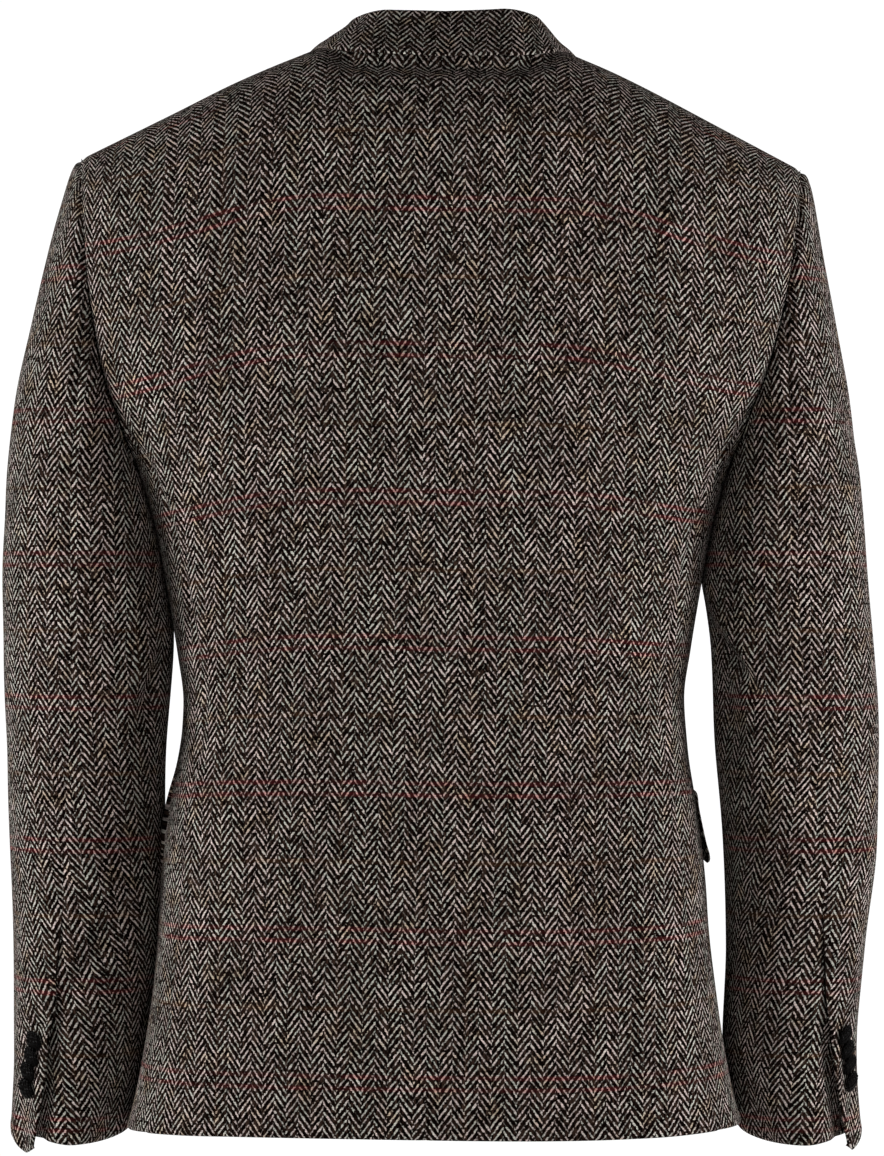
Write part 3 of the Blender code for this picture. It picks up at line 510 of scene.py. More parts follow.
def makeTweed():
    look, scales = tweedLook, tweedLook["scales"]
    material = newMaterial("tweed", look["dark"], look["roughness"], 0.0)
    tree = material.node_tree
    nodes, links = tree.nodes, tree.links
    shader = nodes["Principled BSDF"]
    calc = functools.partial(maths, tree)

    def give(socket, value):
        if isinstance(value, bpy.types.NodeSocket):
            links.new(value, socket)
        elif isinstance(value, tuple) and len(socket.default_value) == 4:
            socket.default_value = (*value, 1.0)
        else:
            socket.default_value = value

    def vector(operation, first, second, scale=None):
        node = nodes.new("ShaderNodeVectorMath")
        node.operation = operation
        give(node.inputs[0], first)
        if second is not None:
            give(node.inputs[1], second)
        if scale is not None:
            give(node.inputs["Scale"], scale)
        return node.outputs[0]

    def blend(share, first, second):
        node = nodes.new("ShaderNodeMix")
        node.data_type = "RGBA"
        for socket, value in zip((node.inputs[0], node.inputs[6], node.inputs[7]), (share, first, second)):
            give(socket, value)
        return node.outputs[2]

    def soft(place, scale, detail=2.0, colour=False):
        node = nodes.new("ShaderNodeTexNoise")
        node.inputs["Scale"].default_value = scale
        node.inputs["Detail"].default_value = detail
        links.new(place, node.inputs["Vector"])
        return node.outputs[1 if colour else 0]

    def cells(first, second):
        place = nodes.new("ShaderNodeCombineXYZ")
        give(place.inputs[0], first)
        give(place.inputs[1], second)
        node = nodes.new("ShaderNodeTexWhiteNoise")
        node.noise_dimensions = "2D"
        links.new(place.outputs[0], node.inputs["Vector"])
        return node.outputs[0]

    def remap(value, low, high, start=0.0, end=1.0):
        node = nodes.new("ShaderNodeMapRange")
        node.interpolation_type = "SMOOTHSTEP"
        for socket, item in zip(node.inputs, (value, low, high, start, end)):
            give(socket, item)
        return node.outputs[0]

    threads = nodes.new("ShaderNodeUVMap")
    threads.uv_map = "weave"
    plain = threads.outputs[0]
    wander = vector("SUBTRACT", soft(plain, scales["wander"], 1.0, True), (0.5, 0.5, 0.5))
    tremble = vector("SUBTRACT", soft(plain, scales["tremble"], 1.0, True), (0.5, 0.5, 0.5))
    moved = vector("ADD", plain, vector("SCALE", wander, None, look["drift"]))
    moved = vector("ADD", moved, vector("SCALE", tremble, None, look["tremble"]))
    split = nodes.new("ShaderNodeSeparateXYZ")
    links.new(moved, split.inputs[0])
    across, along = split.outputs[0], split.outputs[1]
    warp = calc("DIVIDE", across, look["warp"])
    pick = calc("DIVIDE", along, look["pick"])
    yarn = cells(calc("FLOOR", warp), calc("FLOOR", pick))
    otherYarn = cells(calc("FLOOR", calc("ADD", warp, 0.5)), calc("FLOOR", calc("MULTIPLY", pick, 0.5)))

    # ribs of the herringbone, thin and light on dark, made of beaded yarn
    zigzag = calc("PINGPONG", across, look["stripe"])
    rib = calc("ADD", calc("DIVIDE", along, look["pitch"]),
               calc("MULTIPLY", zigzag, look["ribsAcross"] / look["stripe"]))
    parity = calc("FLOOR", calc("MODULO", calc("ADD", calc("DIVIDE", across, look["stripe"]), 400.0), 2.0))
    rib = calc("ADD", rib, calc("MULTIPLY", parity, look["offset"]))
    wave = calc("COSINE", calc("MULTIPLY", rib, math.tau))
    ribs = remap(calc("ADD", wave, calc("SUBTRACT", yarn, 0.5)), *look["ribEdge"])
    bead = calc("COSINE", calc("MULTIPLY", pick, math.tau))
    fibre = soft(plain, scales["fibre"])

    stripeTint = cells(calc("FLOOR", calc("DIVIDE", across, look["stripe"])), 3.0)
    tint = remap(calc("ADD", calc("MULTIPLY", stripeTint, 0.20), soft(plain, scales["tint"])), 0.44, 0.78)
    lightYarn = blend(tint, look["lightWarm"], look["lightCool"])
    lightYarn = blend(remap(soft(plain, scales["tan"], 3.0), 0.52, 0.70, 0.0, 0.8), lightYarn, look["lightTan"])
    darkYarn = blend(calc("MULTIPLY", calc("POWER", otherYarn, 3.0), 0.8), look["dark"], look["brown"])

    # red pairs and single rust lines across, fainter rust ones down the cloth
    def line(position, middle, width):
        return remap(calc("ABSOLUTE", calc("SUBTRACT", position, middle)), width * 1.5, width * 0.5)

    period = look["checkPeriod"]
    checked = calc("PINGPONG", calc("SUBTRACT", along, look["checkAt"] - 20 * period), period / 2)
    upright = calc("PINGPONG", calc("ADD", across, look["stripe"] * 3), look["uprightPeriod"] / 2)
    patchy = remap(soft(plain, scales["patch"], 3.0), 0.38, 0.66, *look["patchy"])
    solid, heights = nodes.new("ShaderNodeTexCoord"), nodes.new("ShaderNodeSeparateXYZ")
    links.new(solid.outputs["Object"], heights.inputs[0])
    first, last, share = look["neckFade"]
    patchy = calc("MULTIPLY", patchy, remap(heights.outputs[2], first, last, 1.0, share))
    red = calc("MULTIPLY", line(checked, look["checkGap"] / 2, look["lineWidth"]), patchy)
    rust = calc("MULTIPLY", line(checked, period / 2, look["lineWidth"]), calc("MULTIPLY", patchy, 0.7))
    stood = calc("MULTIPLY", line(upright, 0.0, look["uprightWidth"]), calc("MULTIPLY", patchy, 0.35))
    rust = calc("MAXIMUM", rust, stood)
    lightYarn = blend(rust, blend(red, lightYarn, look["red"]), look["rust"])
    darkYarn = blend(rust, blend(red, darkYarn, look["redDark"]), look["rustDark"])
    bright = calc("ADD", calc("MULTIPLY", yarn, look["yarnSpread"]), look["yarnLight"])
    bright = calc("MULTIPLY", bright, remap(soft(plain, scales["shade"]), 0.30, 0.70, 0.82, 1.18))
    bright = calc("MULTIPLY", bright, calc("ADD", calc("MULTIPLY", bead, look["beading"]), 1.0))
    bright = calc("MULTIPLY", bright, calc("ADD", calc("MULTIPLY", fibre, 0.8), 0.6))
    lightYarn = vector("SCALE", lightYarn, None, bright)
    links.new(blend(ribs, darkYarn, lightYarn), shader.inputs["Base Color"])

    shader.inputs["Sheen Weight"].default_value, shader.inputs["Sheen Roughness"].default_value = look["sheen"]
    height = calc("ADD", calc("MULTIPLY", ribs, calc("ADD", calc("MULTIPLY", bead, 0.25), 0.75)),
                  calc("MULTIPLY", fibre, 0.7))
    addRelief(tree, height, *look["bump"])
    return material


tweed = makeTweed()
tweedEdge = newMaterial("tweedEdge", tweedLook["edge"], tweedLook["roughness"], 0.0)  # turned edges show dark yarn
print("tweed woven")

# back panels, on both sides of the centre seam
back = {"hem": -0.7150, "ventCornerHem": -0.7166, "ventCorner": 0.195, "ventTop": -0.500,
        "ventLifts": (0.70, 0.86), "liftEnds": (0.060, 0.055), "mesh": (66, 230)}


def backHem(x):
    return mix(back["hem"], back["ventCornerHem"], (x / back["ventCorner"]) ** 2)


def backTurn(x, v):
    top = read(neckline, "turn", x) if x < body["neckPoint"] else body["shoulderSeam"]
    return mix(turnAt(x, backHem(x), True), top, v)


@functools.cache
def backReach(v):
    def height(x):
        return read(shoulder, "height", x) - fall(backTurn(x, v))
    return panelEdge("back", 0.2, height) - cloth["seam"] / 2


# the back sinks in below the collar's edge: the line of that edge, then how deep, how far down, where it
# fades toward the shoulder, and how it closes before the neckline
hollow = columns("out edge", [
    (0.0000, -0.0103),
    (0.0450, -0.0094),
    (0.0725, -0.0043),
    (0.0900, 0.0012),
])
hollowSize = {"depth": 0.0055, "reach": 0.0150, "fades": (0.060, 0.024), "neck": 0.0075, "closes": 0.0070}


def makeBack(side):
    def surface(u, v):
        x = mix(cloth["seam"] / 2, backReach(v), 1 - u)
        return overShoulder(x, backTurn(x, v), side)

    def lift(u, v, point):
        first, full = back["ventLifts"]
        beside = ease((1 - u - first) / (full - first))
        above = point.z - read(hollow, "edge", point.x)
        sunk = ease(1 + above / hollowSize["reach"]) * ease((hollowSize["neck"] - above) / hollowSize["closes"])
        sunk *= hollowSize["depth"] * (1 - ease((point.x - hollowSize["fades"][0]) / hollowSize["fades"][1]))
        start, over = back["liftEnds"]
        return cloth["onTop"] * beside * ease((back["ventTop"] + start - point.z) / over) - sunk

    return makePanel(*named("back", side), surface, back["mesh"], ("seam", "seam", "turned", "seam"),
                     upperWeave("back"), side, lift)


def upperWeave(column):
    # level threads up to the level, and above it threads that follow the cloth over the shoulder
    level, passed = -0.10, {}

    def weave(point, i, j, rowRun, climb):
        climbed = passed[i, j] = point.z
        if point.z > level:
            # what the cloth has climbed since the column passed the level
            k = j
            while k > 0 and passed[i, k - 1] > level:
                k -= 1
            climbed = passed[i, k] + climb[i, j] - climb[i, k]
        return torsoWeave(point, climbed, column)

    return weave


for side, hand in hands.items():
    makeBack(side)
print("back panels cut")

# side bodies, between back and front
sideBody = {"hem": -0.7215, "hemRise": 0.006, "ventLap": 0.16, "ventFrom": -0.504, "ventOpens": 0.012,
            "gap": 0.0002, "armpitGap": 0.0004, "armpitFrom": -0.440, "armpitOver": 0.17, "mesh": (50, 150)}


@functools.cache
def armholeHeight(share, column):
    low, high = armholeEdge["height"][0], sideSeams["height"][-1]
    for _ in range(24):
        middle = (low + high) / 2
        if read(armholeEdge, column, middle) < share * read(sideSeams, column, middle):
            low = middle
        else:
            high = middle
    return low


def makeSideBody(side):
    def surface(u, v):
        place = 2 * u - 1
        column = "back" if place > 0 else "front"
        z = mix(sideBody["hem"] + sideBody["hemRise"] * u, armholeHeight(abs(place), column), v)
        turn = place * read(sideSeams, column, z)
        underBack = sideBody["ventLap"] * ease((sideBody["ventFrom"] - z) / sideBody["ventOpens"])
        gap = sideBody["gap"] + sideBody["armpitGap"] * ease((z - sideBody["armpitFrom"]) / sideBody["armpitOver"])
        inset = gap / read(torso, "half", z) * place
        return roundSide(turn + underBack * max(place, 0) ** 2 - inset, z, side)

    def weave(point, i, j, rowRun, climb):
        across, up = torsoWeave(point, point.z, "back" if point.y > 0 else "front")
        if point.y <= 0:
            level = round(min(point.z, plumbAbove) * 1000)
            across = sectionArc(level, "back")[1][-1] + sectionArc(level, "front")[1][-1] - across
        return across, up

    return makePanel(*named("side body", side), surface, sideBody["mesh"], ("seam", "seam", "turned", "seam"),
                     weave, side)


for side, hand in hands.items():
    makeSideBody(side)
print("side bodies cut")

# fronts, cut away below the buttons
front = {"lap": 0.018, "breakAt": (-0.018, -0.372), "gorge": (0.066, -0.055), "hem": -0.735,
         "cutawayTop": -0.512, "cutaway": 0.062, "cornerFrom": 0.135, "cornerWidth": 0.105,
         "cornerRise": 0.070, "hemOver": 0.05, "lapOver": 0.034, "lapUp": 0.035, "mesh": (56, 170)}


def rollLine(z):
    gorge, start = front["gorge"], front["breakAt"]
    if z < gorge[1]:
        return mix(start[0], gorge[0], max(z - start[1], 0) / (gorge[1] - start[1]))
    share = (z - gorge[1]) / (read(shoulder, "height", body["neckPoint"]) - gorge[1])
    return mix(gorge[0], body["neckPoint"], min(share, 1.0) ** 0.8)


def frontEdge(z):
    if z > front["cutawayTop"]:
        return rollLine(z)
    share = (front["cutawayTop"] - z) / (front["cutawayTop"] - front["hem"])
    return -front["lap"] + (front["cutaway"] + front["lap"]) * share ** 1.9


def frontHem(x):
    level = mix(front["hem"], sideBody["hem"], ease((x - front["cornerFrom"]) / front["hemOver"]))
    inward = min(max(front["cornerFrom"] - x, 0) / front["cornerWidth"], 1.0)
    return level + front["cornerRise"] * (1 - math.sqrt(1 - inward ** 2))


def frontTurn(x, v):
    return mix(turnAt(x, frontHem(x), False), -body["shoulderSeam"], v)


@functools.cache
def frontReach(v):
    def height(x):
        return read(shoulder, "height", abs(x)) - fall(frontTurn(x, v))

    low, high = -2 * front["lap"], front["cornerFrom"]
    for _ in range(22):
        middle = (low + high) / 2
        if middle < frontEdge(height(middle)):
            low = middle
        else:
            high = middle
    return low, panelEdge("front", 0.2, height) - cloth["seam"] / 2


def overlapLift(x, z):
    # the left front lies on the right one where they lap, and above that on its lapel's foot
    over, up = front["lapOver"], front["lapUp"]
    beside = ease((cloth["lapReach"] - x) / over) * ease((cloth["lapTop"] - z) / up)
    return cloth["lapLift"] * beside * (1 + ease((z - cloth["lapelFoot"]) / up))


def makeFront(side):
    def surface(u, v):
        low, high = frontReach(v)
        x = mix(low, high, u)
        return overShoulder(x, frontTurn(x, v), side)

    def lift(u, v, point):
        return overlapLift(point.x, point.z) if side > 0 else 0.0

    return makePanel(*named("front", side), surface, front["mesh"], ("turned", "seam", "turned", "seam"),
                     upperWeave("front"), side, lift)


for side, hand in hands.items():
    makeFront(side)
print("fronts cut")

# lapels, turned out along the roll line
lapel = {"tip": (0.140, -0.105), "belly": (0.100, -0.235), "foot": (0.004, -0.005), "rest": 0.0036,
         "swell": 0.0030, "swellFrom": 0.25, "swellOver": 0.30, "swellAcross": 2.2, "mesh": (32, 90)}


def makeLapel(side):
    start, gorge = front["breakAt"], front["gorge"]

    def surface(u, v):
        v = mix(0.02, 1.0, v)
        rollZ = mix(start[1], gorge[1], v) - 0.0006
        rollX = rollLine(rollZ)
        first = Vector(start) + Vector(lapel["foot"])
        outer = first * (1 - v) ** 2 + Vector(lapel["belly"]) * 2 * v * (1 - v) + Vector(lapel["tip"]) * v * v
        turn = mix(turnAt(rollX, rollZ, False), turnAt(outer.x, outer.y, False), u)
        return overShoulder(mix(rollX, outer.x, u), turn, side)

    def lift(u, v, point):
        beneath = overlapLift(point.x, point.z) if side > 0 else 0.0
        rolled = lapel["swell"] * math.sin(math.pi * min(u * lapel["swellAcross"], 1.0))
        return lapel["rest"] + rolled * ease((v - lapel["swellFrom"]) / lapel["swellOver"]) + beneath

    return makePanel(*named("lapel", side), surface, lapel["mesh"], ("seam", "turned", "turned", "turned"),
                     simpleWeave, side, lift)


for side, hand in hands.items():
    makeLapel(side)
print("lapels turned out")

# collar, folded over its stand
collar = {
    "foldRadius": 0.0045,
    "foldLeaves": math.radians(32),
    "standEnds": 0.28,       # share of its depth up to the fold
    "fallStarts": 0.54,      # and from which it falls outward
    "sway": 0.0012,          # the fold's shift to one side
    "rise": 0.035,           # and its rise toward that side
    "swayReach": 0.20,
    "swayEnds": 0.45,
    "rest": (0.0046, 0.0012),  # it stands this far off the coat at the back, and at the front
    "restFrom": 0.28,
    "restOver": 0.16,
    "settles": (0.40, 0.45),
    "kneeFrom": 0.83,        # toward the end the line of its edge bends into the notch
    "notch": 0.60,
    "weaveShift": 0.0124,
    "mesh": (150, 56),
}
collarLine = columns("along neckX neckTurn edgeX edgeTurn foldIn foldUp", [
    (0.00, 0.0000, 0.317, 0.0000, 0.478, 0.0100, 0.0245),
    (0.17, 0.0360, 0.300, 0.0450, 0.464, 0.0100, 0.0245),
    (0.33, 0.0640, 0.185, 0.0725, 0.350, 0.0118, 0.0210),
    (0.50, 0.0765, 0.000, 0.0895, 0.000, 0.0142, 0.0170),
    (0.67, 0.0745, -0.377, 0.1070, -0.290, 0.0085, 0.0115),
    (0.83, 0.0705, -0.580, 0.1240, -0.510, 0.0045, 0.0080),
    (1.00, 0.0660, -0.752, 0.1330, -0.665, 0.0030, 0.0060),
])


@functools.cache
def collarStation(along):
    row = {name: read(collarLine, name, along) for name in list(collarLine)[1:]}
    near, far = max(along - 0.02, 0), min(along + 0.02, 1)
    before = overShoulder(read(collarLine, "neckX", near), read(collarLine, "neckTurn", near))
    after = overShoulder(read(collarLine, "neckX", far), read(collarLine, "neckTurn", far))
    run = after - before if along > 0.02 else Vector((1, 0, 0))
    out = run.cross(Vector((0, 0, 1))).normalized() * -1
    return row, overShoulder(row["neckX"], row["neckTurn"]), out


def collarFall(row, along, first, share):
    gorgeTurn = turnAt(*front["gorge"], False)
    tipTurn = turnAt(*lapel["tip"], False)
    knee = max(along - collar["kneeFrom"], 0) / (1 - collar["kneeFrom"])
    cut = collar["notch"]
    sewnX, sewnTurn = mix(row["neckX"], lapel["tip"][0], cut), mix(gorgeTurn, tipTurn, cut)
    notchX = mix(mix(row["neckX"], row["edgeX"], cut), sewnX, knee)
    notchTurn = mix(mix(row["neckTurn"], row["edgeTurn"], cut), sewnTurn, knee)

    rest = mix(*collar["rest"], ease((along - collar["restFrom"]) / collar["restOver"]))

    def laid(at):
        # on the coat from the neck out to the edge, with a corner at the notch
        if at < cut:
            x, turn = mix(row["neckX"], notchX, at / cut), mix(row["neckTurn"], notchTurn, at / cut)
        else:
            past = (at - cut) / (1 - cut)
            x, turn = mix(notchX, row["edgeX"], past), mix(notchTurn, row["edgeTurn"], past)
        return overShoulder(x, turn) + outward(x, turn) * rest

    settled = ease(share / 0.25) * ease((along - collar["settles"][0]) / collar["settles"][1])
    return first.lerp(laid(1.0), share).lerp(laid(share), settled)


def collarSurface(u, v):
    along = 2 * u - 1
    side = -1 if along < 0 else 1
    row, neck, out = collarStation(abs(along))
    radius = collar["foldRadius"]
    fold = neck - out * row["foldIn"] + Vector((0, 0, row["foldUp"]))
    centre = fold - Vector((0, 0, radius))
    foot = neck - out * cloth["thick"] + Vector((0, 0, 0.0008))

    def onFold(angle):
        return centre + (out * math.cos(angle) + Vector((0, 0, math.sin(angle)))) * radius

    if v <= collar["standEnds"]:
        point = foot.lerp(centre - out * radius, v / collar["standEnds"])
    elif v <= collar["fallStarts"]:
        bend = (v - collar["standEnds"]) / (collar["fallStarts"] - collar["standEnds"])
        point = onFold(mix(math.pi, collar["foldLeaves"], bend))
    else:
        share = (v - collar["fallStarts"]) / (1 - collar["fallStarts"])
        point = collarFall(row, abs(along), onFold(collar["foldLeaves"]), share)
    nearFold = math.exp(-((v - collar["fallStarts"]) / collar["swayReach"]) ** 2)
    nearFold *= 1 - ease((abs(along) - collar["swayEnds"]) / collar["swayReach"])
    return Vector((side * point.x - collar["sway"] * nearFold, point.y,
                   point.z - side * point.x * collar["rise"] * nearFold))


def collarWeave(point, i, j, rowRun, climb):
    middle = collar["mesh"][0] // 2
    return rowRun[i, j] - rowRun[middle, j] + collar["weaveShift"], -climb[i, j]


piece = makePanel("collarCloth", "collar", collarSurface, collar["mesh"], ("turned", "turned", "seam", "turned"),
                  collarWeave)
print("collar folded")

# sleeves, set into the armholes, with a vent at the cuff
cuff = {
    "ventTop": 0.845,        # along the sleeve
    "ventLap": 0.30,         # turn by which the under sleeve runs on under the top sleeve
    "width": 0.15,
    "tab": 0.0060,           # beside the vent the top sleeve's hem drops into a blunt point
    "tabStarts": 0.90,
    "tabTip": 0.054,         # shares of the top sleeve's width
    "tabEnds": (-0.008, 0.165),
    "laidAcross": (0.28, 0.15),  # the top sleeve lies on the under sleeve up to this share
    "stands": 0.0026,        # the vent's edge stands away
    "standsReach": 0.008,
    "sinks": 0.0034,         # and what lies under it sinks
    "rise": 0.0036,          # the under sleeve's hem is this much shorter there
    "riseFrom": 0.90,
}
sleeve = {
    "blend": 0.30,           # share of the sleeve over which the armhole's shape fades out
    "middle": 0.238,         # folds are pressed toward this distance from the centre
    "girth": 0.058,          # radius by which a turn counts as a distance
    "width": 0.11,
    "armholeGap": -0.0004,
    "bodyClearance": -0.0003,
    "flapClearance": 0.0076,  # room for the pocket flap
    "flapAt": -0.540,
    "flapReach": 0.040,
    "flapTurn": (3.20, 0.35),
    "leans": 0.0024,         # the left sleeve leans on the hip
    "leansAt": -0.568,
    "leansReach": 0.060,
    "forearmSeam": math.radians(232),
    "rowsDown": 0.55,        # how much closer its rows stand toward the head
    "checkShift": 0.0400,    # its check sits this much off the back's
    "seamShift": 0.0037,     # brings the under sleeve's stripes to the top sleeve's
    "headLevel": -0.160,     # above this height the threads follow the cloth
    "headRows": 70,
    "topMesh": (64, 170),
    "underMesh": (44, 170),
}
# rings down a sleeve: outer and inner side, reach to the back and to the front, and tilt
sleeveRings = columns("along outX outZ inX inZ back front tilt", [
    (0.000, 0.2438, -0.0697, 0.1995, -0.2780, 0.0600, -0.0580, 0.00),
    (0.007, 0.2478, -0.0728, 0.2003, -0.2790, 0.0610, -0.0590, 0.00),
    (0.020, 0.2510, -0.0800, 0.2005, -0.2808, 0.0620, -0.0600, 0.00),
    (0.050, 0.2562, -0.1010, 0.1965, -0.2855, 0.0640, -0.0610, 0.00),
    (0.100, 0.2635, -0.1370, 0.1925, -0.2930, 0.0660, -0.0620, 0.00),
    (0.160, 0.2718, -0.1780, 0.1895, -0.3030, 0.0675, -0.0630, 0.00),
    (0.240, 0.2816, -0.2310, 0.1850, -0.3200, 0.0685, -0.0635, 0.00),
    (0.330, 0.2885, -0.2900, 0.1790, -0.3480, 0.0685, -0.0635, 0.00),
    (0.450, 0.2928, -0.3700, 0.1811, -0.3960, 0.0665, -0.0635, 0.00),
    (0.570, 0.2946, -0.4500, 0.1852, -0.4600, 0.0625, -0.0630, 0.02),
    (0.690, 0.2932, -0.5300, 0.1897, -0.5330, 0.0535, -0.0645, 0.06),
    (0.800, 0.2885, -0.6000, 0.1925, -0.6000, 0.0410, -0.0690, 0.11),
    (0.900, 0.2868, -0.6650, 0.1950, -0.6640, 0.0260, -0.0775, 0.15),
    (1.000, 0.2900, -0.7255, 0.2066, -0.7235, 0.0105, -0.0860, 0.17),
])
# the seam behind the arm, in degrees; the twist is the left one's and is taken from the right one
hindarmSeam = columns("along turn twist", [
    (0.00, 86.0, 0.0),
    (0.50, 86.0, -2.0),
    (0.69, 78.0, -1.0),
    (0.84, 68.5, 1.5),
    (0.90, 64.0, 4.5),
    (1.00, 57.0, 6.0),
])
# both sleeves drift this much toward the wearer's right
sway = columns("height outer inner", [
    (-0.735, 0.0008, -0.0007),
    (-0.670, 0.0008, 0.0010),
    (-0.600, 0.0035, 0.0055),
    (-0.530, 0.0064, 0.0062),
    (-0.465, 0.0062, 0.0044),
    (-0.400, 0.0034, 0.0058),
    (-0.330, 0.0002, 0.0000),
    (-0.230, -0.0008, -0.0010),
    (-0.130, 0.0014, 0.0006),
    (-0.070, 0.0047, 0.0047),
])
# a negative depth is a ridge
sleeveFolds = columns("side turn z length width lean depth", [
    (1, 145, -0.426, 0.024, 0.0100, 20, 0.0060),
    (1, 134, -0.398, 0.018, 0.0120, 0, -0.0035),
    (1, 112, -0.400, 0.050, 0.0130, 58, 0.0040),
    (1, 92, -0.611, 0.062, 0.0100, 38, 0.0042),
    (1, 84, -0.602, 0.062, 0.0100, 38, -0.0020),
    (1, 112, -0.245, 0.020, 0.0100, 10, 0.0035),
    (1, 60, -0.250, 0.055, 0.0120, 40, 0.0030),
    (1, 290, -0.430, 0.050, 0.0130, -62, 0.0045),
    (-1, 140, -0.408, 0.034, 0.0080, 46, 0.0080),
    (-1, 132, -0.399, 0.034, 0.0090, 46, -0.0045),
    (-1, 150, -0.440, 0.036, 0.0150, 12, 0.0060),
    (-1, 120, -0.575, 0.028, 0.0085, 65, 0.0055),
    (-1, 116, -0.565, 0.028, 0.0090, 65, -0.0030),
    (-1, 90, -0.201, 0.011, 0.0065, 60, 0.0028),
    (-1, 86, -0.215, 0.011, 0.0065, 60, 0.0028),
    (-1, 83, -0.228, 0.011, 0.0065, 60, 0.0024),
    (-1, 55, -0.215, 0.050, 0.0120, 48, 0.0045),
    (-1, 285, -0.440, 0.050, 0.0130, -60, 0.0045),
])


def armholeAt(side, turn):
    low, high = armholeEdge["height"][0], armholeEdge["height"][-1]
    z = mix(low, high, (1 + math.cos(turn)) / 2)
    behind = math.sin(turn) >= 0
    sideTurn = read(armholeEdge, "back" if behind else "front", z)
    return atSide(sideTurn if behind else -sideTurn, z, side) if sideTurn > 0 else roundSide(0.0, z, side)


@functools.cache
def sleeveRing(side, along):
    # the ring's row, its outer side, and its inner side clear of the coat and clear of the flap
    row = {name: read(sleeveRings, name, along) for name in list(sleeveRings)[1:]}
    outX = row["outX"] - side * read(sway, "outer", row["outZ"])
    leaning = sleeve["leans"] * math.exp(-((row["inZ"] - sleeve["leansAt"]) / sleeve["leansReach"]) ** 2)
    inX = row["inX"] - side * read(sway, "inner", row["inZ"]) - (leaning if side > 0 else 0.0)
    besideFlap = math.exp(-((row["inZ"] - sleeve["flapAt"]) / sleeve["flapReach"]) ** 2)
    clear = read(torso, "half", row["inZ"]) + sleeve["bodyClearance"] - (leaning if side > 0 else 0.0)
    overFlap = clear + (sleeve["flapClearance"] - sleeve["bodyClearance"]) * besideFlap
    return row, outX, [mix(inX, max(inX, least), ease(along / 0.1)) for least in (clear, overFlap)]


def sleevePoint(side, turn, along):
    # turn goes from the outer side backward and round
    row, outX, inner = sleeveRing(side, along)
    inX = mix(*inner, ease((turn % math.tau - sleeve["flapTurn"][0]) / sleeve["flapTurn"][1]))
    out, behind = (1 + math.cos(turn)) / 2, (1 + math.sin(turn)) / 2
    point = Vector((mix(inX, outX, out), mix(row["front"], row["back"], behind), mix(row["inZ"], row["outZ"], out)))
    point.z -= row["tilt"] * (row["back"] - row["front"]) * (behind - 0.5)
    fade = max(1 - along / sleeve["blend"], 0) ** 2
    if fade:
        edge = armholeAt(side, turn)
        edge = leaned(Vector((side * edge.x, edge.y, edge.z)))
        first = {name: sleeveRings[name][0] for name in sleeveRings}
        swayed = side * mix(read(sway, "inner", first["inZ"]), read(sway, "outer", first["outZ"]), out)
        flat = Vector((mix(first["inX"], first["outX"], out) - swayed, mix(first["front"], first["back"], behind),
                       mix(first["inZ"], first["outZ"], out)))
        point += (Vector((side * edge.x + sleeve["armholeGap"], edge.y, edge.z)) - flat) * fade
    dent = 0.0
    for i, folded in enumerate(sleeveFolds["side"]):
        if folded == side:
            apart = (turn - math.radians(sleeveFolds["turn"][i]) + math.pi) % math.tau - math.pi
            dent += trough(sleeveFolds, i, apart * sleeve["girth"], point.z - sleeveFolds["z"][i])
    return point + Vector((sleeve["middle"] - point.x, -point.y, 0)).normalized() * dent


def hindarm(side, along):
    return math.radians(read(hindarmSeam, "turn", along) + side * read(hindarmSeam, "twist", along))


def rowsDown(v):
    return mix(v, v * v, sleeve["rowsDown"])


outerLine = {"height": sleeveRings["outZ"][::-1], "x": sleeveRings["outX"][::-1],
             "back": sleeveRings["back"][::-1], "front": sleeveRings["front"][::-1]}
innerLine = {"height": sleeveRings["inZ"][::-1], "x": sleeveRings["inX"][::-1]}


@functools.cache
def sleeveSection(level, column):
    # a level section of the sleeve as an ellipse, with lengths along it from its outer side
    z = level / 1000
    outX, inX = read(outerLine, "x", z), read(innerLine, "x", z)
    half, depth = (outX - inX) / 2, abs(read(outerLine, column, z))
    arc, steps = [0.0], 72
    for k in range(steps):
        angle = math.pi * (k + 0.5) / steps
        arc.append(arc[-1] + math.hypot(half * math.sin(angle), depth * math.cos(angle)) * math.pi / steps)
    return (outX + inX) / 2, half, depth, arc


def sleeveAcross(point):
    # distance on the cloth from the sleeve's outer side, level, positive toward the back
    middle, half, depth, arc = sleeveSection(round(point.z * 1000), "back" if point.y >= 0 else "front")
    place = math.atan2(abs(point.y) / depth, (point.x - middle) / half) / math.pi * (len(arc) - 1)
    k = min(int(place), len(arc) - 2)
    return math.copysign(mix(arc[k], arc[k + 1], place - k), point.y)


